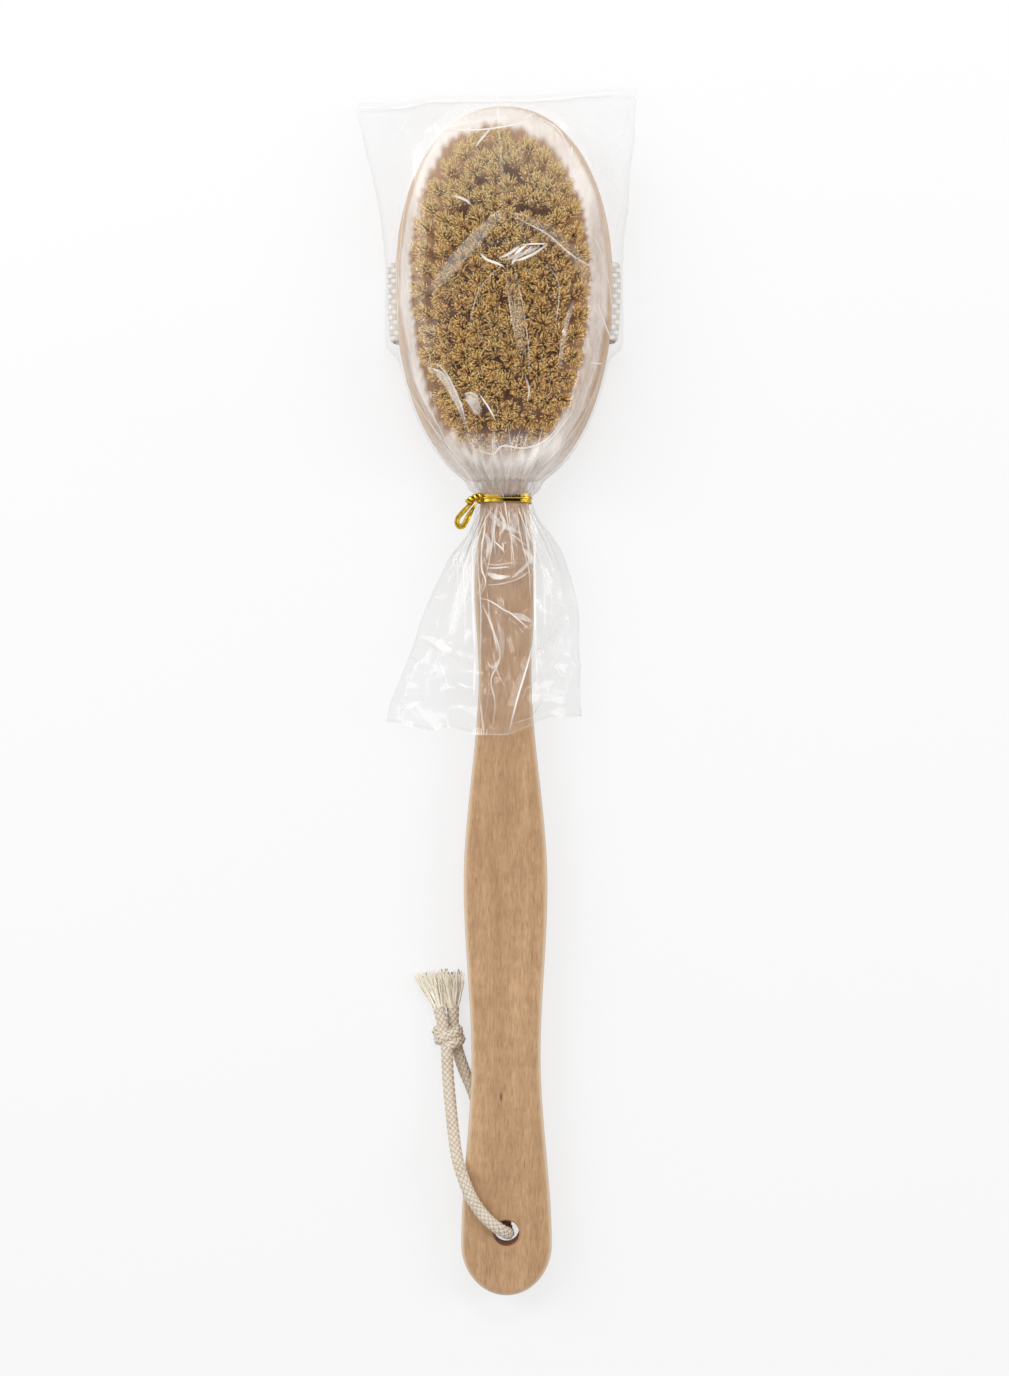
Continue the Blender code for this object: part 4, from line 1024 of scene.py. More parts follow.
cordTails = (  # name, node, which way its fray fans, route
    ("cordTailLeft", "cord_tail_left", -0.0013,
     ((-0.0216, 0.0890, 0.0066), (-0.0222, 0.0930, 0.0064), (-0.0228, 0.0962, 0.0060), (-0.0236, 0.0995, 0.0050),
      (-0.0241, 0.1018, 0.0044))),
    ("cordTailRight", "cord_tail_right", -0.0007,
     ((-0.0188, 0.0890, 0.0034), (-0.0188, 0.0930, 0.0031), (-0.0189, 0.0962, 0.0029), (-0.0189, 0.0995, 0.0026),
      (-0.0190, 0.1018, 0.0025))),
)
knot = dict(
    centre=(-0.0204, 0.0905, 0.0050),
    tilt=15,
    start=150,
    across=0.0036,
    deep=0.00250,
    rise=0.0032,
    turns=2.1,
    points=90,
    diameter=0.0043,
)
fray = dict(
    tufts=30,
    tailSize=0.97,
    swell=0.16,  # how much a tail opens at its end
    rootsWithin=0.0020,
    perTuft=6,
    rootRadius=0.00034,
    tipSpread=0.0009,
    length=0.0138,
    lengthSpread=0.0042,
    thickness=0.00023,
    taper=0.35,
    curl=0.0026,
    curlScale=170.0,
    opening=1.4,
    dome=0.0,
    steps=9,
    sides=4,
    floor=0.0002,  # no strand hangs lower
    seed=3,
    placeSeed=5,
)


def curved(line, spacing=None):
    # A smooth line through all of the given points
    line = [Vector(p) for p in line]
    fine = []
    for i in range(len(line) - 1):
        a, b = line[max(i - 1, 0)], line[i]
        c, d = line[i + 1], line[min(i + 2, len(line) - 1)]
        steps = max(2, round((c - b).length / spacing)) if spacing else cord["curveSteps"]
        for k in range(steps):
            t = k / steps
            fine.append(0.5 * (2 * b + (c - a) * t + (2 * a - 5 * b + 4 * c - d) * t**2
                               + (3 * b - a - 3 * c + d) * t**3))
    return fine + [line[-1]]


def smoothLine(route, step):
    return resample([tuple(p) for p in curved(route)], step)[0]


def alongFrames(line):
    # Directions square to the line that turn with it and don't twist
    tangent = unit(np.gradient(line, axis=0))
    side = np.zeros_like(line)
    first = np.cross(tangent[0], (0.0, 0.0, 1.0))
    if np.linalg.norm(first) < 0.2:
        first = np.cross(tangent[0], (1.0, 0.0, 0.0))
    side[0] = first / np.linalg.norm(first)
    for i in range(1, len(line)):
        moved = side[i - 1] - tangent[i] * np.dot(side[i - 1], tangent[i])
        side[i] = moved / np.linalg.norm(moved)
    return tangent, side, np.cross(tangent, side)


def tubeAround(line, side, up, wide, tall, sides, start):
    # A closed tube of oval section along a line; wide and tall may change along it
    turns = 2 * np.pi * np.arange(sides) / sides
    wide, tall = np.broadcast_to(wide, len(line)), np.broadcast_to(tall, len(line))
    rings = (
        line[:, None, :]
        + side[:, None, :] * (np.cos(turns)[None, :, None] * wide[:, None, None])
        + up[:, None, :] * (np.sin(turns)[None, :, None] * tall[:, None, None])
    )
    last = start + (len(line) - 1) * sides
    faces = [tuple(range(start, start + sides)), tuple(range(last, last + sides))]
    for i in range(len(line) - 1):
        faces += bridge(start + i * sides, start + (i + 1) * sides, sides)
    return rings.reshape(-1, 3), faces


def braid(line, diameter=None, swell=None):
    # Two sets of strands wound round the line in opposite directions, over and under each other
    diameter = diameter or cord["diameter"]
    _, side, up = alongFrames(line)
    along = distances(line)
    scale = diameter / cord["diameter"]
    count, strandSides = cord["strands"], cord["strandSides"]
    middle = diameter / 2 - cord["strandHeight"] * scale / 2 - cord["weaveDepth"] * scale
    points, faces, hollow = [], [], []
    total = 0
    for way in (1, -1):
        for k in range(count):
            turn = 2 * np.pi * k / count + way * 2 * np.pi * along / cord["pitch"]
            weaveTurn = count * 2 * np.pi * along / cord["pitch"]
            far = middle + way * cord["weaveDepth"] * scale * np.cos(weaveTurn)
            if swell is not None:
                far = far * swell
            outward = side * np.cos(turn)[:, None] + up * np.sin(turn)[:, None]
            path = line + outward * far[:, None]
            across = unit(np.cross(unit(np.gradient(path, axis=0)), outward))
            rings, more = tubeAround(path, across, outward, cord["strandWidth"] * scale / 2,
                                     cord["strandHeight"] * scale / 2, strandSides, total)
            points.append(rings)
            faces += more
            # Painted shade: a strand is darker where it dives under another one, and along its two edges.
            shade = np.clip(0.5 - way * np.cos(weaveTurn) * 0.5, 0, 1)
            ringShade = np.clip(np.abs(np.cos(2 * np.pi * np.arange(strandSides) / strandSides)) - 0.45, 0, 1)
            hollow.append((shade[:, None] ** 2 * 0.55 + ringShade[None, :] * 1.5).ravel())
            total += len(rings)
    # A dark core fills the braid: painted shade in the gaps between its strands.
    rings, more = tubeAround(line, side, up, middle * 0.93, middle * 0.93, cord["coreSides"], total)
    points.append(rings)
    faces += more
    hollow.append(np.ones(len(rings)))
    return np.concatenate(points), faces, np.clip(np.concatenate(hollow), 0, 1)


def addBraid(name, line, material, diameter=None, swell=None):
    points, faces, hollow = braid(line, diameter, swell)
    piece = addPiece(name, points, faces, material, 70)
    setValues(piece, "hollow", hollow)
    return piece


def routed(route):
    # The routes are given from the handle's end.
    return [(x, endY + y, z) for x, y, z in route]


def makeCord(strands, material, frayedMaterial):
    line = smoothLine(routed(cordRoute), cord["step"])
    loop = addBraid("cordLoop", line, material)
    dress(loop, "handle", "cotton_cord", "cord_loop")

    centre = np.array((knot["centre"][0], endY + knot["centre"][1], knot["centre"][2]))
    turns = np.linspace(0, 1, knot["points"])
    angle = math.radians(knot["start"]) - 2 * math.pi * knot["turns"] * turns
    ends = np.clip(np.minimum(turns, 1 - turns) / 0.10, 0, 1) ** 0.5
    local = np.stack([
        knot["across"] * ends * np.cos(angle),
        knot["rise"] * (2 * turns - 1) * (0.75 + 0.25 * ends),
        knot["deep"] * ends * np.sin(angle),
    ], axis=1)
    tilt = math.radians(knot["tilt"])
    spun = np.stack([
        local[:, 0] * math.cos(tilt) - local[:, 1] * math.sin(tilt),
        local[:, 0] * math.sin(tilt) + local[:, 1] * math.cos(tilt),
        local[:, 2],
    ], axis=1)
    wrap = resample(spun + centre, cord["step"])[0]
    tied = addBraid("cordKnot", wrap, material, knot["diameter"])
    dress(tied, "handle", "cotton_cord", "cord_knot")

    tails = []
    roots, leans, directions = [], [], []
    chance = random.Random(fray["placeSeed"])
    for name, node, fan, route in cordTails:
        line = smoothLine(routed(route), cord["step"])
        swell = 1 + fray["swell"] * np.linspace(0, 1, len(line)) ** 4
        tails.append(addBraid(name, line, material, cord["diameter"] * fray["tailSize"], swell))
        dress(tails[-1], "handle", "cotton_cord", node)
        # The fray grows from just inside the tail's end and fans out.
        tangent, side, up = (f[-4] for f in alongFrames(line))
        for _ in range(fray["tufts"]):
            turn, far = chance.uniform(0, 2 * math.pi), math.sqrt(chance.random())
            offset = (side * math.cos(turn) + up * math.sin(turn)) * far * fray["rootsWithin"]
            roots.append(line[-6] + offset)
            leans.append((fan + offset[0] * 1.8 + chance.uniform(-1, 1) * 0.0011, chance.uniform(-0.6, 0.6) * 0.001,
                          offset[2] * 1.3 + chance.uniform(-0.4, 0.6) * 0.001))
            directions.append(tuple((tangent + np.array((0, 0, 0.02))) / np.linalg.norm(tangent)))
    fluff = growStrands("cordFray", roots, leans, directions, strands, {**fray, "finish": frayedMaterial})
    for vertex in fluff.data.vertices:
        vertex.co.z = max(vertex.co.z, fray["floor"])
    dress(fluff, "handle", "cotton_cord")


tie = dict(
    topY=0.0708,
    bottomY=0.0674,
    snug=0.0005,  # from the handle to the gathered film's outside
    squareness=0.42,
    around=96,
    offFilm=0.0003,
    flare=0.16,  # how much wider the strip is at the right
    wobble=0.00006,
    seed=2,
    # Across the strip, as a share of its half width and a height: two flanges and the wire's ridge
    profile=((-1.0, 0.00012), (-0.92, 0.00034), (-0.78, 0.00032), (-0.66, 0.00030), (-0.34, 0.00028),
             (-0.24, 0.00026), (-0.12, 0.00062), (0.12, 0.00062), (0.24, 0.00026), (0.34, 0.00028),
             (0.66, 0.00030), (0.78, 0.00032), (0.92, 0.00034), (1.0, 0.00012), (0.9, 0.0), (-0.9, 0.0)),
    # The folded end, from where the two ends cross
    loop=((0.0026, 0.0004, -0.0006), (0.0012, 0.0002, 0.0004), (-0.0005, -0.0004, 0.0009), (-0.0034, -0.0034, 0.0018),
          (-0.0063, -0.0066, 0.0025), (-0.0071, -0.0081, 0.0026), (-0.0070, -0.0096, 0.0027),
          (-0.0060, -0.0104, 0.0027), (-0.0048, -0.0099, 0.0027), (-0.0042, -0.0088, 0.0026),
          (-0.0019, -0.0046, 0.0020), (0.0002, -0.0012, 0.0012), (0.0008, -0.0003, 0.0004), (0.0018, 0.0, -0.0006)),
    # On edge along the loop's legs and flat at the fold: a share of its length, and the turn there
    loopTurns=((0, 0), (0.12, 1.3), (0.3, 0.85), (0.5, 0.95), (0.7, 0.85), (0.88, 1.9), (1, 3.1)),
    halfRibbon=0.00105,
    ribbon=((-1, -0.12), (-0.25, -0.10), (-0.1, -0.34), (0.1, -0.34), (0.25, -0.10), (1, -0.12), (1, 0.12),
            (0.25, 0.10), (0.1, 0.34), (-0.1, 0.34), (-0.25, 0.10), (-1, 0.12)),
    twist=((0.0012, 0.0005, -0.0002), (-0.0004, 0.0, 0.0004), (-0.0020, -0.0008, 0.0009), (-0.0034, -0.0020, 0.0015)),
    twistTurns=1.75,
    twistApart=0.00062,
    twistHalf=(0.00125, 0.00042),
    smoothBelow=40,
)


def neckSize():
    # The bag's outer half-width, bottom and top where it is tied
    half = handleHalfWidth(tie["bottomY"] - endY) + tie["snug"]
    return half, handle["rest"] - tie["snug"], handle["rest"] + handle["thickness"] + tie["snug"]


def neckRing(out, count):
    # Points round the neck, out from the film, from the right round by the top
    half, bottom, top = neckSize()
    halfWide, low, high = half + out, bottom - out, top + out
    middle, tall = (low + high) / 2, (high - low) / 2
    turns = 2 * np.pi * np.arange(count) / count
    x = halfWide * np.sign(np.cos(turns)) * np.abs(np.cos(turns)) ** tie["squareness"]
    z = middle + tall * np.sign(np.sin(turns)) * np.abs(np.sin(turns)) ** tie["squareness"]
    return x, z


def wrapNeck(material):
    # The strip round the neck: two flat flanges with the wire's ridge between them
    middleY = (tie["topY"] + tie["bottomY"]) / 2
    halfWide = (tie["topY"] - tie["bottomY"]) / 2 - 0.0002
    count, sides = tie["around"], len(tie["profile"])
    wobble = random.Random(tie["seed"])
    lifts = [wobble.uniform(-1, 1) for _ in range(count)]
    points, faces, shades = [], [], []
    half = neckSize()[0]
    for i in range(count):
        for share, out in tie["profile"]:
            x, z = neckRing(tie["offFilm"] + out, count)
            wider = 1 + tie["flare"] * float(softStep(x[i], half * 0.62, half * 0.70))
            points.append((x[i], middleY + share * halfWide * wider + tie["wobble"] * lifts[i], z[i]))
            # The strip is painted dark beside the wire's ridge over its middle part: painted shade and dark
            # reflection.
            inMiddle = softStep(x[i], -half * 0.35, -half * 0.20) * (1 - softStep(x[i], half * 0.60, half * 0.68))
            shades.append(float(inMiddle) if 0.16 < abs(share) < 0.86 else 0.10)
    for i in range(count):
        faces += bridge(i * sides, (i + 1) % count * sides, sides)
    piece = addPiece("foilTie", points, faces, material, tie["smoothBelow"])
    setValues(piece, "hollow", shades)
    return piece


def foldLoop(start, material):
    # The end that is folded back as a flat loop
    line = smoothLine([tuple(start + Vector(p)) for p in tie["loop"]], 0.0003)
    tangent, side, up = alongFrames(line)
    turn = np.interp(np.linspace(0, 1, len(line)), *zip(*tie["loopTurns"]))
    across = side * np.cos(turn)[:, None] + up * np.sin(turn)[:, None]
    outward = np.cross(tangent, across)
    half = tie["halfRibbon"]
    rings = [
        [tuple(line[i] + across[i] * (w * half) + outward[i] * (h * half)) for w, h in tie["ribbon"]]
        for i in range(len(line))
    ]
    piece = addPiece("foilLoop", *loft(rings), material, tie["smoothBelow"])
    # The loop's middle line is painted dark: painted shade and dark reflection.
    setValues(piece, "hollow", [0.85 if abs(w) < 0.2 else 0.12 for _ in rings for w, h in tie["ribbon"]])
    return piece


def twistEnds(start, material):
    # The two ends wound tightly round each other beside the neck
    points, faces, total = [], [], 0
    stem = smoothLine([tuple(start + Vector(p)) for p in tie["twist"]], 0.00012)
    tangent, side, up = alongFrames(stem)
    spin = np.linspace(0, 2 * math.pi * tie["twistTurns"], len(stem))
    for phase in (0, math.pi):
        outward = side * np.cos(spin + phase)[:, None] + up * np.sin(spin + phase)[:, None]
        path = stem + outward * tie["twistApart"]
        rings, more = tubeAround(path, np.cross(tangent, outward), outward, *tie["twistHalf"], 8, total)
        points.append(rings)
        faces += more
        total += len(rings)
    return addPiece("foilTwist", np.concatenate(points), faces, material, tie["smoothBelow"])


def makeTie(material):
    half, _, top = neckSize()
    start = Vector((-half - 0.0006, (tie["topY"] + tie["bottomY"]) / 2, top + 0.0007))
    for piece in (wrapNeck(material), foldLoop(start, material), twistEnds(start, material)):
        dress(piece, "head", "gold_foil", "twist_tie")


bag = dict(
    flat=(0.200, 0.240),  # the tube's way round, and its length
    rows=285,
    columns=330,
    smoothing=6,
    snug=0.0009,  # the film's way off what it lies on
    strapRoom=0.002,
    overTips=0.0358,
    seamHalf=0.050,
    seamHeight=0.009,
    seal=0.003,
    skirtLength=0.0845,
    skirtLeft=((0.06, 0.0107), (0.12, 0.0125), (0.22, 0.0204), (0.49, 0.0306), (0.92, 0.0415), (1.0, 0.043)),
    skirtRight=((0.05, 0.0107), (0.094, 0.0140), (0.197, 0.0211), (0.404, 0.0267), (0.89, 0.0275), (1.0, 0.0276)),
    mouth=((-0.0404, 0.0072), (-0.0264, 0.0040), (-0.0194, 0.0054), (-0.0099, 0.0026), (0.0010, 0.0026),
           (0.0158, 0.0086), (0.0274, 0.0090)),  # how far above its lowest place the mouth is cut, across
    skirtTop=0.0200,
    side=0.0125,  # how high its side edge lies
    crownInset=0.0062,
    tipRoom=0.0045,  # from the outermost roots to where the film comes down
    corner=0.0045,
    crease=0.0025,
    ringSmoothing=0.0034,
    wall=0.0003,  # half of what keeps its two faces apart at the seam
    floor=0.0001,  # no film hangs lower
    # The painted white reflection begins this far outside the roots, at the sides and lengthways, a little to the left
    fieldSide=0.0050,
    fieldEnd=0.0046,
    fieldLeft=0.0012,
    # By direction, in radians from the right: how far in the rim shows, and how much painted white reflection the film
    # takes inside it and on it
    rim=((-3.15, 0.0018), (-2.4, 0.0027), (-1.57, 0.0028), (-0.75, 0.0027), (0.0, 0.0022), (0.5, 0.0029),
         (1.0, 0.0031), (1.57, 0.0022), (2.1, 0.0031), (2.6, 0.0029), (3.15, 0.0018)),
    bandGlare=((-3.15, 0.74), (-2.6, 0.70), (-2.0, 0.58), (-1.57, 0.50), (-1.1, 0.56), (-0.5, 0.64), (0.0, 0.70),
              (0.9, 0.70), (1.57, 0.80), (3.15, 0.74)),
    rimGlare=((-3.15, 0.25), (-2.6, 0.20), (-2.0, 0.18), (-1.57, 0.30), (-1.2, 0.10), (-0.5, 0.08), (0.0, 0.20),
             (0.6, 0.22), (1.2, 0.22), (1.57, 0.36), (2.1, 0.18), (2.7, 0.18), (3.15, 0.25)),
    # Gathers from the tie up and down: way, how many, their reach and height
    gathers=((1, 40, (0.014, 0.055), (0.0005, 0.0016)), (-1, 36, (0.010, 0.045), (0.0003, 0.0010))),
    pleats=46,
    pleatHeight=0.00022,
    folds=9,
    foldSpan=(0.009, 0.026),
    foldHeight=0.045,  # as a share of its span
    foldOnSkirt=0.75,
    foldAtCorners=0.8,
    foldOverHead=0.16,
    wrinkles=150,
    seed=21,
)
# How much painted white the film takes in each place, mostly reflection and highlight, partly its own milky haze: the
# most that each adds
veils = dict(gather=0.12, pleat=0.05, shown=0.12, wrinkle=0.05, glareHaze=0.085, belly=0.40, below=0.07, hanging=0.055,
             overHandle=0.025, seal=0.10, mouth=0.16, cornerEdge=0.14, skirtEdge=0.12, most=0.88)
mouthY = tie["bottomY"] - bag["skirtLength"]
closeY = topY - bag["seal"]  # the film is drawn flat here
lowestTip = widestY - bristles["belly"][0] - bag["tipRoom"]
highestTip = widestY + bristles["top"][0] + bag["tipRoom"]


def easedIn(value, start, stop):
    return math.sin(math.pi / 2 * min(1.0, max(0.0, (value - start) / (stop - start))))


def softStep(value, start, stop):
    share = np.clip((value - start) / (stop - start), 0, 1)
    return share * share * (3 - 2 * share)


def bagSection(y):
    # (left, right, bottom, widest, top, crown) of the bag at y
    neck, low, high = neckSize()
    if y <= tie["bottomY"]:
        share = (tie["bottomY"] - y) / bag["skirtLength"]
        spread = 1 - (1 - min(1.0, share)) ** 2.0
        sooner = min(1.0, 1.45 * spread)
        left = max(neck, float(np.interp(share, *zip(*bag["skirtLeft"]))))
        right = max(neck, float(np.interp(share, *zip(*bag["skirtRight"]))))
        bottom = low * (1 - min(1.0, 1.6 * spread))
        top = high + (bag["skirtTop"] - high) * sooner
        return left, right, bottom, (bottom + top) / 2, top, (neck * 1.3 + right) / 2
    if y <= tie["topY"]:
        return neck, neck, low, (low + high) / 2, high, neck
    snug = bag["snug"]
    aboveStrap = strap["y"] + strap["width"] / 2 + bag["strapRoom"]
    if y <= aboveStrap:
        woodHalf = max(neck, eggHalfWidth(max(y, headEndY) + 0.0004) + snug)
        past = max(0.0, strap["y"] - strap["width"] / 2 - bag["strapRoom"] - y)
        half = max(woodHalf, strap["halfSpan"] + snug - past * 1.2)
        rise = easedIn(y, tie["topY"], lowestTip)
        top = high + (bag["overTips"] - high) * rise
        bottom = low * (1 - easedIn(y, tie["topY"], headEndY + 0.0036))
        return half, half, bottom, bag["side"], top, woodHalf - bag["crownInset"] * rise
    lowHalf = strap["halfSpan"] + snug
    share = min(1.0, (y - aboveStrap) / (closeY - aboveStrap))
    half = lowHalf + (bag["seamHalf"] - lowHalf) * share**1.3
    along = min(1.0, max(0.0, (y - highestTip) / (closeY - highestTip)))
    fall = 1 - math.sqrt(max(0.0, 1 - along**2))
    top = bag["overTips"] + (bag["seamHeight"] + bag["wall"] - bag["overTips"]) * fall
    bottom = (bag["seamHeight"] - bag["wall"]) * fall
    widest = bag["side"] + (bag["seamHeight"] - bag["side"]) * fall
    crown = head["halfWidth"] - bag["crownInset"]
    return half, half, bottom, widest, top, crown + (half - crown) * fall


def bagRing(y, count):
    # A ring of points at even steps, from the middle of the top round by the right
    left, right, bottom, widest, top, crown = bagSection(y)
    middle, half = (right - left) / 2, (right + left) / 2
    crown = min(crown, half)
    corner = min(0.22 * half, bag["corner"])
    rise = min(1.2 * corner, 0.85 * (widest - bottom))
    crease = min((top - widest) / 4, 0.3 * crown, bag["crease"])
    side = [(0.0, top), (crown - crease, top), (crown - crease * 0.3, top - crease * 0.3), (crown, top - crease),
            ((half + crown) / 2, (widest + top - crease) / 2), (half, widest)]
    for i in range(5):
        turn = math.pi / 2 * (1 - i / 4)
        side.append((half - corner * (1 - math.sin(turn)), bottom + rise * (1 - math.cos(turn))))
    side.append((0.0, bottom))
    line = np.array(side + [(-x, z) for x, z in side[-2:0:-1]] + [side[0]])
    along = distances(line)
    spots = np.arange(count) / count * along[-1]
    x, z = np.interp(spots, along, line[:, 0]), np.interp(spots, along, line[:, 1])
    width = max(1, round(count * bag["ringSmoothing"] / along[-1]))
    for _ in range(3):
        x = sum(np.roll(x, k) for k in range(-width, width + 1)) / (2 * width + 1)
        z = sum(np.roll(z, k) for k in range(-width, width + 1)) / (2 * width + 1)
    # Rounding the ring's corners draws it in; the flat sealed end keeps its whole width.
    keep = float(softStep(y, 0.150, 0.185))
    x *= 1 + keep * (half / np.abs(x).max() - 1)
    return middle + x, z


def eggInset(x, y):
    # How far inside the head's outline a place is, near enough
    reach, power = eggHalf(y > widestY)
    size = (abs(x / head["halfWidth"]) ** power + abs((y - widestY) / reach) ** power) ** (1 / power)
    if size < 1e-6:
        return head["halfWidth"]
    return math.hypot(x, y - widestY) * (1 / size - 1) * head["halfWidth"] / math.hypot(x / size, (y - widestY) / size)


def fromPhoto(u, v, height):
    # The place on the object, at a height, that the photograph shows at u across and v down
    scale = shot["sensor"] / shot["tall"] / shot["lens"] * (shot["height"] - height)
    return shot["x"] + (u - shot["wide"] / 2) * scale, shot["y"] + (shot["tall"] / 2 - v) * scale


def ridge(x, y, start, end, width, lopsided=0.0):
    # 1 on a line and 0 at a width from it, fading at its ends; lopsided makes one side broader
    a, b = np.array(start), np.array(end)
    along = b - a
    length = np.linalg.norm(along)
    along = along / length
    t = ((x - a[0]) * along[0] + (y - a[1]) * along[1]) / length
    off = (x - a[0]) * -along[1] + (y - a[1]) * along[0]
    reach = np.where(off > 0, width * (1 + lopsided), width * (1 - lopsided))
    fade = np.clip(np.minimum(t, 1 - t) / 0.22, 0, 1)
    return np.clip(1 - np.abs(off) / reach, 0, 1) * fade


# Creases where the photograph shows them: from and to, across and down its frame, height and half-width in mm, veil
# The last number in each is how much painted highlight the crease gets.
frontCreases = (
    ((436, 352), (505, 214), 1.0, 5.0, 0.10),
    ((592, 305), (505, 214), 1.0, 5.0, 0.08),
    ((478, 247), (548, 243), 2.0, 2.2, 0.35),
    ((500, 262), (548, 246), 1.8, 1.8, 0.45),
    ((514, 262), (536, 392), 0.5, 3.2, 0.06),
    ((526, 300), (520, 410), 0.3, 2.4, 0.05),
    ((430, 368), (476, 432), 1.1, 2.2, 0.14),
    ((465, 396), (500, 418), 1.4, 2.6, 0.32),
    ((560, 330), (586, 372), 0.8, 2.2, 0.10),
    ((441, 131), (545, 110), 0.8, 1.5, 0.45),
    ((476, 148), (506, 118), 0.8, 1.2, 0.35),
    ((372, 150), (441, 131), 0.6, 1.8, 0.12),
    ((545, 110), (612, 140), 0.8, 1.6, 0.30),
    ((560, 128), (580, 170), 0.8, 1.5, 0.20),
    ((470, 430), (500, 492), 1.3, 1.5, 0.30),
    ((400, 350), (484, 492), 1.2, 2.0, 0.22),
    ((415, 410), (490, 492), 1.4, 1.6, 0.25),
    ((608, 370), (524, 492), 1.2, 2.0, 0.22),
    ((590, 410), (518, 492), 1.4, 1.6, 0.25),
    ((545, 440), (510, 492), 1.2, 1.4, 0.22),
    ((520, 430), (505, 492), 0.9, 1.2, 0.15),
    ((448, 425), (494, 492), 1.0, 1.3, 0.20),
    ((478, 598), (532, 650), 1.0, 1.8, 0.22),
    ((480, 532), (520, 700), 1.2, 2.0, 0.22),
    ((520, 505), (478, 600), 1.0, 1.6, 0.25),
    ((490, 500), (472, 580), 1.2, 1.4, 0.25),
    ((505, 500), (520, 560), 0.9, 1.4, 0.20),
    ((530, 510), (560, 590), 1.0, 1.6, 0.15),
    ((484, 572), (538, 562), 1.0, 1.6, 0.30),
    ((500, 580), (536, 575), 0.8, 1.2, 0.30),
    ((508, 738), (538, 640), 1.3, 2.2, 0.30),
    ((470, 530), (432, 600), 1.0, 1.8, 0.12),
    ((440, 570), (412, 650), 0.9, 2.4, 0.10),
    ((416, 634), (462, 660), 1.5, 2.4, 0.30),
    ((400, 712), (430, 700), 1.0, 2.2, 0.30),
    ((420, 660), (396, 726), 0.8, 2.4, 0.08),
    ((545, 620), (578, 600), 1.2, 2.4, 0.22),
    ((556, 560), (572, 640), 0.8, 2.2, 0.10),
    ((540, 680), (578, 700), 0.9, 2.2, 0.10),
    ((484, 735), (492, 655), 1.0, 1.6, 0.16),
    ((372, 180), (392, 270), 0.7, 2.2, 0.10),
    ((632, 150), (612, 262), 0.7, 2.4, 0.10),
    ((616, 300), (598, 400), 0.7, 2.0, 0.16),
    ((388, 300), (412, 400), 0.7, 2.0, 0.16),
)


def bagGrid():
    # The film's rings before any fold, from the mouth to the sealed edge, and the way out of it at each place
    rows, columns = bag["rows"], bag["columns"]
    ys = mouthY + (closeY - mouthY) * np.linspace(0, 1, rows - 2)
    x, z = np.zeros((rows, columns)), np.zeros((rows, columns))
    for i, y in enumerate(ys):
        x[i], z[i] = bagRing(float(y), columns)
    # Smooth the changes from one section to the next.
    for _ in range(bag["smoothing"]):
        for a in (x, z):
            a[1 : rows - 3] = (a[: rows - 4] + 2 * a[1 : rows - 3] + a[2 : rows - 2]) / 4
    ys = np.concatenate([ys, [topY - bag["seal"] / 2, topY]])
    for i in (rows - 2, rows - 1):
        x[i], z[i] = x[rows - 3], z[rows - 3]
    y = ys[:, None] * np.ones((1, columns))
    points = np.stack([x, y, z], axis=2)
    normal = np.cross(np.roll(points, -1, axis=1) - np.roll(points, 1, axis=1), np.gradient(points, axis=0))
    normal /= np.linalg.norm(normal, axis=2)[:, :, None] + 1e-12
    if normal[rows // 2, 0, 2] < 0:
        normal = -normal
    return points, normal


def gatherFilm(y, q, chance, lift, veil):
    # Gathers that run from the tie, each widening and dying out on its own
    tieMiddle = (tie["topY"] + tie["bottomY"]) / 2
    for way, number, reaches, heights in bag["gathers"]:
        for k in range(number):
            spot = (k + chance.uniform(-0.35, 0.35)) / number
            reach = chance.uniform(*reaches)
            drift = chance.uniform(-0.018, 0.018)
            height = chance.uniform(*heights)
            d = way * (y - tieMiddle)
            share = np.clip(d / reach, 0, 1)
            wide = (0.35 + 0.45 * share) / number
            off = np.abs((q - spot - drift * share + 0.5) % 1 - 0.5)
            shape = np.clip(1 - off / wide, 0, 1) * (d > 0) * (1 - share) ** 0.7 * softStep(d, 0.0, 0.006)
            lift += height * shape
            # Each gather's crest is painted whiter: a painted highlight.
            veil += veils["gather"] * np.clip(shape - 0.55, 0, 1) * chance.uniform(0.2, 1.0)
    # Small tight pleats under and beside the tie itself
    close = np.exp(-((y - tieMiddle) / 0.0045) ** 2)
    pleats = np.abs(np.sin(np.pi * q * bag["pleats"] + 3 * np.sin(2 * np.pi * q * 3)))
    lift += close * bag["pleatHeight"] * pleats
    # The pleats are painted whiter too: a painted highlight.
    veil += close * veils["pleat"] * pleats


def crumpleFilm(x, y, chance):
    # Broad folds at random slants
    crumple = np.zeros(x.shape)
    for _ in range(bag["folds"]):
        slant = chance.uniform(0, math.pi)
        span = chance.uniform(*bag["foldSpan"])
        bendX = x + 0.004 * np.sin(y / 0.021 + chance.uniform(0, 6))
        phase = (bendX * math.cos(slant) + y * math.sin(slant)) / span + chance.uniform(0, 1)
        crumple += (np.abs((phase % 1) - 0.5) * 2 - 0.5) * span * bag["foldHeight"]
    return crumple


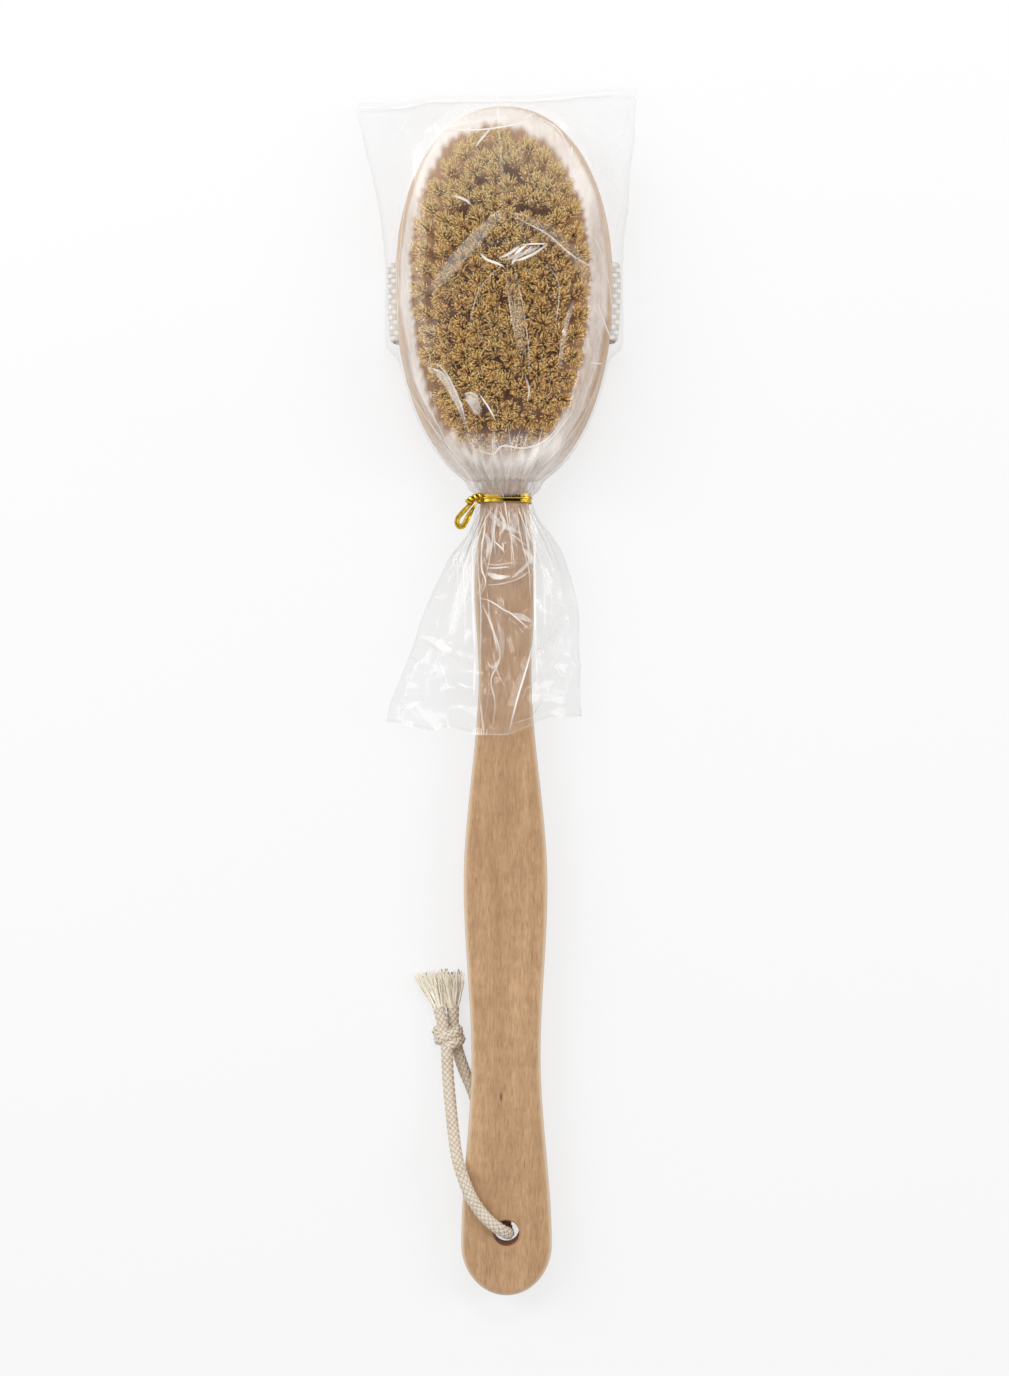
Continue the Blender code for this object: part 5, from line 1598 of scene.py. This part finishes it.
def wrinkleFilm(x, y, normal, chance, lift, veil):
    # The creases of the photograph, on the side that it shows
    front = normal[:, :, 2] > -0.05
    for first, second, height, width, glareHaze in frontCreases:
        level = 0.018 if first[1] > 500 else 0.034  # of the film there
        shape = ridge(x, y, fromPhoto(*first, level), fromPhoto(*second, level), width / 1000, 0.25) * front
        lift += shape * height / 1000
        # Each crease is also painted whiter along its line: a painted highlight.
        veil += glareHaze * veils["shown"] * shape
    # More, made up, over the whole bag
    for _ in range(bag["wrinkles"]):
        cx, cy = chance.uniform(-0.048, 0.048), chance.uniform(mouthY, topY)
        turn = chance.normal(math.pi / 2, 0.7)
        reach = chance.uniform(0.004, 0.017)
        step = np.array((math.cos(turn), math.sin(turn))) * reach
        side = np.where(normal[:, :, 2] > 0, 1, -1) == (1 if chance.random() < 0.6 else -1)
        calm = 0.45 if cy > 0.10 and abs(cx) < 0.034 else 1.0
        ends = (cx - step[0], cy - step[1]), (cx + step[0], cy + step[1])
        shape = ridge(x, y, *ends, chance.uniform(0.0008, 0.0022), chance.uniform(-0.5, 0.5)) * side
        lift += shape * chance.uniform(-0.0005, 0.0009) * calm
        # The made-up creases are painted whiter on their crests: a painted highlight.
        veil += veils["wrinkle"] * calm * np.clip(shape - 0.6, 0, 1) * chance.uniform(0, 1)


def liftFilm(points, normal, lift):
    # Moves the film out by its folds, and gives its two open ends their lie
    x, y, z = (points[:, :, i].copy() for i in range(3))
    # Its folded sides stay straighter than its faces.
    lift = lift * (0.30 + 0.70 * softStep(np.abs(normal[:, :, 2]), 0.15, 0.60))
    # The film stays outside what it wraps, and flat at its seam.
    seam = softStep(y, topY - 0.010, closeY)
    lift = lift * (1 - seam) + seam * 0.0002 * np.sin(x / 0.0021)
    tips = (z > 0.033) & (y > lowestTip) & (y < highestTip)
    lift = np.where(tips, np.maximum(lift, -0.0002), lift)
    lift = np.minimum(lift, np.where(normal[:, :, 2] < -0.3, z - bag["floor"], 1.0))
    points = points + normal * lift[:, :, None]
    points[:, :, 2] = np.maximum(points[:, :, 2], bag["floor"])
    # The mouth's flared sides hang higher than its middle.
    mouth = softStep(-y, -(mouthY + 0.04), -mouthY)
    points[:, :, 1] += mouth * np.interp(x, *zip(*bag["mouth"]))
    # The sealed top leans a little to the left and rises to the right, with a dip beside the left corner.
    free = softStep(y, 0.165, topY)
    points[:, :, 0] -= free * 0.0022
    points[:, :, 1] += free * (0.0026 * softStep(x, 0.008, 0.046) - 0.0024 * softStep(-x, 0.020, 0.049)
                               - 0.0012 * np.exp(-((x + 0.034) / 0.007) ** 2))
    return points


def paintHeadGlare(x, y, over, chance, veil):
    # Between the bristles and the rim the film slopes, and its reflection of the white room is painted in as white.
    turn = np.arctan2(y - widestY, x)
    bandStart = np.interp(turn, *zip(*bag["rim"]))
    inset = np.full(x.shape, -1.0)
    patchy = 0.80 + 0.20 * np.sin(y / 0.009 + 1.7 * np.sin(x / 0.011)) * np.sin(y / 0.023 + 0.6)
    for i in range(bag["rows"]):
        if headEndY < y[i, 0] < headTopY:
            inset[i] = np.vectorize(eggInset)(x[i], y[i, 0])
    reach, power = (np.where(y > widestY, a, b) for a, b in zip(fieldHalf(True), fieldHalf(False)))
    reach = reach + bag["fieldEnd"]
    wide = bristles["halfWidth"] + bag["fieldSide"]
    field = (np.abs((x + bag["fieldLeft"]) / wide) ** power + np.abs((y - widestY) / reach) ** power) ** (1 / power)
    stops = np.linspace(-np.pi, np.pi, 120)
    field += np.interp(turn, stops, chance.normal(0, 0.011, len(stops))) + 0.010 * np.sin(turn * 77 + 2)
    overHeadFace = over & (y > headEndY)
    band = softStep(inset, bandStart - 0.0006, bandStart + 0.0008) * softStep(field, 1.0, 1.07)
    veil += np.interp(turn, *zip(*bag["bandGlare"])) * band * patchy * overHeadFace
    # The film over the wood's rim takes a painted reflection as well.
    rim = softStep(inset, -0.001, 0.0004) * (1 - softStep(inset, bandStart - 0.0004, bandStart + 0.0004))
    rim = rim * (0.80 + 0.20 * np.sin(y / 0.013 + 2.0 * np.sin(x / 0.017)))
    veil += np.interp(turn, *zip(*bag["rimGlare"])) * rim * overHeadFace
    # A thin painted reflection lies over the head's upper end and its left side.
    glareHaze = softStep(y, 0.158, 0.188) + 0.55 * softStep(-x, 0.014, 0.030)
    veil += veils["glareHaze"] * glareHaze * overHeadFace * softStep(inset, 0.0, 0.004)


def paintEndHazeAndGlare(x, y, q, over, crumple, skirt, veil):
    # The film over the belly is bunched into a fan, painted milky white: partly its bunched layers' own haze, partly
    # painted reflection.
    belly = softStep(-y, -0.094, -0.080) * softStep(y, 0.068, 0.072)
    veil += veils["belly"] * belly * (0.88 + 0.12 * np.sin(q * 2 * np.pi * 23 + 2 * np.sin(q * 2 * np.pi * 5)))
    # Below the belly and down the hanging skirt the film takes a thinner painted haze.
    below = softStep(-y, -0.0675, -0.066) * softStep(y, 0.030, 0.060)
    veil += veils["below"] * below * (0.7 + 0.3 * np.sin(q * 2 * np.pi * 19 + 2 * np.sin(q * 2 * np.pi * 4)))
    overHandle = veils["overHandle"] * over * (np.abs(x) < neckSize()[0] + 0.004)
    # On the skirt the painted haze follows the folds, whiter on their crests: a painted highlight.
    veil += softStep(-y, -0.066, -0.050) * (veils["hanging"] + overHandle + 10 * np.clip(crumple, -0.004, 0.004))
    # The weld at the top, the mouth's edge and the edges where the tube was folded are painted whiter: partly the
    # film's own milky weld and edges, partly painted highlight.
    veil += veils["seal"] * softStep(y, topY - 0.0032, topY - 0.0028)
    veil += veils["mouth"] * np.exp(-((y - mouthY) / 0.0007) ** 2)
    edge = np.abs(np.abs((q + 0.25) % 0.5 - 0.25)) < 0.0016
    veil += veils["cornerEdge"] * edge * softStep(y, 0.15, 0.19) + veils["skirtEdge"] * edge * skirt


def makeBag(material):
    rows, columns = bag["rows"], bag["columns"]
    points, normal = bagGrid()
    x, y = points[:, :, 0], points[:, :, 1]
    chance = np.random.default_rng(bag["seed"])
    lift, veil = np.zeros((rows, columns)), np.zeros((rows, columns))
    q = np.arange(columns)[None, :] / columns  # how far round the film a place is, from the middle of its front
    gatherFilm(y, q, chance, lift, veil)
    # The crumpling is strongest on the skirt and at the free corners.
    crumple = crumpleFilm(x, y, chance)
    skirt = softStep(-y, -(tie["bottomY"] - 0.012), -(tie["bottomY"] - 0.045))
    corners = softStep(y, 0.150, 0.200) * softStep(np.abs(x), 0.026, 0.044)
    overHead = softStep(y, tie["topY"] + 0.02, tie["topY"] + 0.05) * (1 - corners)
    lift += crumple * (bag["foldOnSkirt"] * skirt + bag["foldAtCorners"] * corners + bag["foldOverHead"] * overHead)
    wrinkleFilm(x, y, normal, chance, lift, veil)
    folded = liftFilm(points, normal, lift)
    over = folded[:, :, 2] > bag["side"] - 0.002
    paintHeadGlare(x, y, over, chance, veil)
    paintEndHazeAndGlare(x, y, q, over, crumple, skirt, veil)

    grid = np.arange(rows * columns).reshape(rows, columns)
    wrapped = np.concatenate([grid, grid[:, :1]], axis=1)
    quads = np.stack([wrapped[:-1, :-1], wrapped[:-1, 1:], wrapped[1:, 1:], wrapped[1:, :-1]], axis=2).reshape(-1, 4)
    piece = addPiece("filmBag", folded.reshape(-1, 3), [tuple(f) for f in quads.tolist()], material, 180, False)
    setValues(piece, "veil", np.clip(veil, 0, veils["most"]))
    if piece.data.polygons[(rows // 2) * columns].normal.z < 0:
        piece.data.flip_normals()
    dress(piece, "head", "clear_film", "bag")
    print("film area", round(sum(p.area for p in piece.data.polygons), 4))
    return piece


creases = dict(
    lift=0.00006,
    crown=0.00010,  # how much higher its middle lies
    step=0.0009,
    level=0.02,  # the height at which the photograph's places are read
    longestJump=0.008,
    # From the tie, on each face: how many, way, reach and whiteness
    fans=((40, 1, (0.007, 0.022), 0.55), (34, -1, (0.006, 0.030), 0.6)),
    loose=70,
    backShare=0.4,
    seed=8,
)
# Bright folds where the photograph shows them: places along each, across and down its frame, half-width in mm, veil
# Each is laid as a painted highlight; its last number is how white it is.
shownFolds = (
    (((486, 507), (485, 530), (482, 548), (482, 568), (486, 583), (479, 598)), 0.32, 0.75),
    (((494, 506), (486, 519), (479, 537), (476, 551)), 0.28, 0.6),
    (((498, 484), (504, 497), (510, 530), (516, 537), (523, 543), (531, 547)), 0.28, 0.7),
    (((494, 541), (501, 547), (505, 553)), 0.30, 0.85),
    (((503, 542), (504, 551)), 0.30, 0.85),
    (((507, 541), (504, 545)), 0.25, 0.7),
    (((485, 563), (497, 565), (510, 563), (520, 562)), 0.35, 0.4),
    (((486, 568), (498, 568), (508, 567), (511, 569)), 0.30, 0.65),
    (((487, 573), (497, 577), (505, 577), (511, 576)), (0.3, 1.2, 0.9, 0.2), 0.75),
    (((478, 598), (488, 600), (497, 605), (504, 610), (512, 614), (530, 630)), 0.30, 0.75),
    (((486, 583), (489, 605), (490, 619), (500, 655), (491, 680), (495, 703), (492, 732)), 0.34, 0.5),
    (((523, 509), (526, 519), (529, 534), (534, 546)), 0.30, 0.6),
    (((534, 557), (526, 566), (516, 575), (510, 579)), (0.5, 0.8, 0.6, 0.2), 0.4),
    (((533, 643), (527, 667), (517, 700), (508, 735)), 0.36, 0.85),
    (((482, 603), (492, 627), (498, 655)), 0.30, 0.6),
    (((535, 524), (535, 580), (536, 650), (540, 716)), 0.50, 0.75),
    (((473, 516), (473, 600), (475, 660), (472, 726)), 0.46, 0.7),
    (((478, 520), (478, 560), (481, 610), (480, 680)), 0.26, 0.4),
    (((530, 520), (529, 560), (531, 600)), 0.26, 0.4),
    (((487, 508), (497, 521), (509, 528), (524, 535)), (0.3, 1.3, 1.0, 0.2), 0.35),
    (((512, 508), (516, 522), (512, 534), (518, 548)), (0.3, 1.5, 1.2, 0.3), 0.32),
    (((499, 510), (505, 524), (500, 536)), (0.2, 0.8, 0.2), 0.6),
    (((483, 530), (490, 545), (487, 560)), (0.3, 1.2, 0.3), 0.4),
    (((522, 548), (530, 556), (533, 566)), (0.3, 1.2, 0.3), 0.45),
    (((484, 585), (500, 584), (520, 578), (533, 568)), 0.30, 0.45),
    (((510, 614), (520, 616), (533, 622)), (0.3, 1.3, 0.3), 0.35),
    (((495, 612), (502, 640), (500, 665)), (0.3, 1.4, 0.3), 0.22),
    (((486, 660), (493, 668), (499, 658)), 0.30, 0.5),
    (((456, 540), (458, 590), (452, 640)), 0.40, 0.30),
    (((462, 545), (465, 600), (466, 660)), 0.40, 0.30),
    (((543, 560), (545, 610), (543, 665)), 0.40, 0.35),
    (((418, 635), (437, 642), (460, 660)), (0.2, 1.9, 0.15), 0.6),
    (((400, 711), (412, 705), (424, 700)), (0.3, 1.1, 0.15), 0.5),
    (((428, 597), (440, 597), (450, 595)), (0.3, 1.0, 0.3), 0.4),
    (((450, 553), (438, 573), (413, 630), (393, 700)), 0.40, 0.35),
    (((433, 640), (452, 700), (456, 733)), 0.30, 0.28),
    (((418, 634), (408, 680), (400, 722)), 0.30, 0.25),
    (((480, 700), (484, 735)), 0.35, 0.5),
    (((557, 527), (573, 557), (580, 600), (581, 716)), 0.36, 0.3),
    (((537, 650), (553, 635), (570, 617)), (0.3, 1.1, 0.3), 0.4),
    (((537, 523), (550, 537), (567, 547)), 0.40, 0.45),
    (((545, 560), (552, 600), (548, 640)), 0.40, 0.3),
    (((440, 130), (489, 129), (537, 120)), 0.30, 0.8),
    (((494, 126), (481, 141), (477, 147)), 0.45, 0.75),
    (((464, 116), (473, 123)), 0.35, 0.8),
    (((478, 112), (484, 122)), 0.35, 0.8),
    (((523, 120), (537, 113)), 0.35, 0.8),
    (((537, 116), (560, 130), (574, 158), (577, 176)), 0.30, 0.6),
    (((573, 146), (574, 158)), 0.40, 0.8),
    (((439, 130), (411, 186), (401, 256), (400, 300), (399, 340)), 0.32, 0.5),
    (((397, 340), (405, 377), (430, 422), (472, 472), (486, 487)), 0.34, 0.6),
    (((404, 365), (418, 392), (438, 434), (464, 467), (492, 489)), 0.34, 0.65),
    (((398, 352), (411, 398), (452, 452), (496, 489)), 0.28, 0.5),
    (((427, 363), (444, 369), (461, 402), (467, 427)), 0.36, 0.45),
    (((428, 367), (444, 377), (458, 402), (466, 425)), (0.3, 1.8, 1.2, 0.2), 0.32),
    (((433, 368), (444, 374), (453, 391)), (0.2, 0.7, 0.2), 0.35),
    (((471, 392), (474, 402), (480, 414)), (2.5, 2.4, 1.4), 0.34),
    (((469, 397), (474, 406), (477, 413)), (0.8, 1.1, 0.7), 0.30),
    (((464, 394), (472, 393), (479, 396)), 0.26, 0.6),
    (((480, 394), (489, 407), (496, 420)), 0.36, 0.8),
    (((465, 397), (471, 404), (476, 411)), 0.26, 0.4),
    (((576, 394), (573, 411), (548, 444), (520, 472), (506, 489)), 0.34, 0.7),
    (((604, 363), (593, 397), (573, 433), (537, 472), (515, 490)), 0.34, 0.65),
    (((603, 345), (597, 390), (566, 446), (520, 488)), 0.28, 0.45),
    (((588, 363), (604, 364)), 0.30, 0.6),
    (((464, 444), (492, 454), (503, 446), (526, 448), (548, 439), (570, 412)), 0.36, 0.6),
    (((500, 258), (508, 255), (516, 250), (522, 245)), (0.2, 0.8, 0.7, 0.15), 0.7),
    (((504, 260), (515, 257), (528, 252), (541, 247)), (0.2, 0.9, 1.0, 0.2), 0.55),
    (((511, 262), (523, 259), (536, 253), (549, 244)), (0.15, 0.5, 0.6, 0.15), 0.85),
    (((515, 256), (521, 250), (528, 245)), (0.2, 0.7, 0.2), 0.85),
    (((519, 258), (527, 252), (533, 246)), (0.15, 0.5, 0.2), 0.8),
    (((513, 265), (516, 259), (521, 255)), 0.45, 0.8),
    (((522, 245), (535, 244), (549, 244)), 0.30, 0.9),
    (((481, 252), (487, 259), (500, 264), (506, 268)), 0.45, 0.8),
    (((506, 268), (512, 313), (519, 350)), 0.26, 0.20),
    (((515, 264), (524, 307), (530, 356), (528, 376)), 0.26, 0.24),
    (((526, 376), (530, 390), (528, 402)), 0.34, 0.4),
    (((510, 266), (517, 313), (525, 365)), (0.9, 2.3, 1.0), 0.035),
    (((430, 293), (456, 262), (481, 234), (503, 212)), (1.6, 2.9, 2.9, 1.4), 0.16),
    (((515, 217), (548, 234), (574, 256), (604, 273)), 0.34, 0.45),
    (((512, 214), (545, 228), (580, 262), (590, 300)), (0.8, 2.6, 2.6, 1.2), 0.09),
    (((582, 228), (599, 245), (612, 298), (613, 340)), 0.34, 0.6),
    (((597, 300), (606, 325), (612, 340)), 0.45, 0.7),
    (((401, 200), (398, 268), (399, 335), (396, 345)), 0.34, 0.55),
    (((388, 262), (390, 300), (395, 338)), 0.40, 0.35),
    (((454, 195), (467, 200), (473, 206)), 0.50, 0.6),
    (((506, 262), (480, 290), (470, 330)), 0.24, 0.25),
    (((545, 262), (560, 285), (556, 330)), 0.24, 0.22),
    (((575, 300), (566, 330), (560, 370)), 0.9, 0.2),
    (((358, 104), (372, 150), (378, 180)), 0.30, 0.25),
    (((639, 89), (628, 120), (616, 160)), 0.30, 0.25),
    (((560, 128), (590, 160), (604, 200)), 0.30, 0.3),
)


def makeCreaseHighlights(bagPiece, material):
    mesh = bagPiece.data
    tree = BVHTree.FromPolygons([v.co for v in mesh.vertices], [p.vertices for p in mesh.polygons])
    eye = Vector((shot["x"], shot["y"], shot["height"]))
    points, faces, veilings = [], [], []

    # A ribbon is a thin white strip just off the film: a painted highlight along a fold.
    def layRibbon(middles, widths, veil):
        # middles: (place, direction out of the film) along the fold
        widths = np.atleast_1d(widths)
        sharp = 0.72 if widths.max() < 3.0 else 0.45
        across = [(-1, 0.0), (-sharp, 1.0), (0, 1.0), (sharp, 1.0), (1, 0.0)]
        start, last = len(points), len(middles) - 1
        for i, (spot, out) in enumerate(middles):
            side = (middles[min(i + 1, last)][0] - middles[max(i - 1, 0)][0]).cross(out)
            if side.length < 1e-9:
                side = Vector((1, 0, 0))
            side.normalize()
            taper = min(1.0, 0.25 + 3.2 * min(i, last - i) / last) if len(widths) == 1 else 1.0
            halfWidth = float(np.interp(i / last, np.linspace(0, 1, len(widths)), widths)) / 1000
            for share, strength in across:
                lift = creases["lift"] + creases["crown"] * (1 - abs(share))
                points.append(spot + side * (share * halfWidth * taper) + out * lift)
                veilings.append(veil * strength * min(1.0, 0.3 + 2.5 * min(i, last - i) / last))
        for i in range(last):
            for k in range(len(across) - 1):
                a = start + i * len(across) + k
                faces.append((a, a + len(across), a + len(across) + 1, a + 1))

    def drape(line, toward=None):
        # The places on the film under a line: from above (1) or below (-1), or as the camera sees it
        found = []
        for spot in curved(line, creases["step"]):
            if toward is None:
                start, way = eye, (Vector((spot.x, spot.y, creases["level"])) - eye).normalized()
            else:
                start, way = Vector((spot.x, spot.y, toward)), Vector((0, 0, -toward))
            hit, out, _, _ = tree.ray_cast(start, way)
            if hit is None:
                continue
            if out.z * (toward or 1) < 0:
                out = -out
            if found and (hit - found[-1][0]).length > creases["longestJump"]:
                break
            found.append((hit, out))
        smooth = []
        for i in range(len(found)):
            near = found[max(0, i - 2) : i + 3]
            smooth.append((found[i][0], sum((n for _, n in near), Vector()).normalized()))
        return smooth if len(smooth) > 2 else None

    for places, halfWidth, veil in shownFolds:
        laid = drape([(*fromPhoto(u, v, creases["level"]), 0) for u, v in places])
        if laid:
            layRibbon(laid, halfWidth, veil)

    # The rest are made up: fans from the tie, then loose ones.
    chance = random.Random(creases["seed"])
    half = neckSize()[0]
    for toward in (1, -1):
        for many, way, reach, strength in creases["fans"]:
            startY = (tie["topY"] if way > 0 else tie["bottomY"]) + way * 0.0006
            for _ in range(many):
                x = chance.uniform(-1, 1) * half * 0.95
                run = chance.uniform(*reach)
                away = x * (1 + run * 55) + chance.uniform(-0.002, 0.002)
                bend = chance.uniform(-0.0015, 0.0015)
                middle = ((x + away) / 2 + bend, startY + way * run * 0.5, 0)
                laid = drape([(x, startY, 0), middle, (away, startY + way * run, 0)], toward)
                if laid:
                    layRibbon(laid, chance.uniform(0.14, 0.30), strength * chance.uniform(0.3, 1.0))
    for _ in range(creases["loose"]):
        toward = -1 if chance.random() < creases["backShare"] else 1
        x, y = chance.uniform(-0.047, 0.047), chance.uniform(-0.015, 0.208)
        if toward > 0 and 0.08 < y and abs(x) < 0.034:
            continue
        turn = chance.gauss(math.pi / 2, 0.6)
        run = chance.uniform(0.004, 0.012)
        bend = chance.uniform(-0.0012, 0.0012)
        step = Vector((math.cos(turn), math.sin(turn), 0)) * run
        laid = drape([Vector((x, y, 0)) - step, (x + bend, y + bend, 0), Vector((x, y, 0)) + step], toward)
        if laid:
            layRibbon(laid, chance.uniform(0.14, 0.34), chance.uniform(0.2, 0.55))
    piece = addPiece("creaseHighlights", points, faces, material, 180, recalculate=False)
    setValues(piece, "veil", veilings)
    print("creases", len(faces))
    return dress(piece, "head", "clear_film", "bag")


makeCamera()
makeStudio()
grain = makeGrainGroup()
holeY = endY + handle["holePlace"]
handleMarks = (
    # Plain face colour over the hole's chamfer, which keeps the painted edge highlight off it; the hole's darker brown
    # wall; a dark fleck.
    ((0, holeY, 0.0105), (1, 1, 0), (0.0054, 0.0052), (0.50, 0.305, 0.165)),
    ((0, holeY, 0.0105), (1, 1, 0), (0.00458, 0.00453), (0.40, 0.145, 0.058)),
    ((-0.0018, -0.1421, 0), (1, 0.28, 0), (0.00060, 0.00020), (0.16, 0.085, 0.045)),
)
handleWood = woodMaterial("handleBeech", grain, marks=handleMarks, deeper=wood["deeperAlong"])
headWood = woodMaterial("headBeech", grain, shift=wood["headPlace"], edge=wood["headEdge"])
print("finishes made")
makeHandle(handleWood)
makeHead(headWood)
print("wood made")
strands = makeStrandTree()
makeBristles(strands, bristleMaterial())
yarns = yarnGroup()
cotton, webbing, frayed = (yarnMaterial(name, yarns, *values) for name, values in cottons.items())
makeCord(strands, cotton, frayed)
makeStrap(webbing)
print("cord and strap made")
makeTie(foilMaterial())
steel = steelMaterial()
for name in pins["names"]:
    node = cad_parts[name]
    node.data.materials.clear()
    node.data.materials.append(steel)
clearFilm = filmMaterial()
bagPiece = makeBag(clearFilm)
foldHighlights = makeCreaseHighlights(bagPiece, clearFilm)
print("bag made")
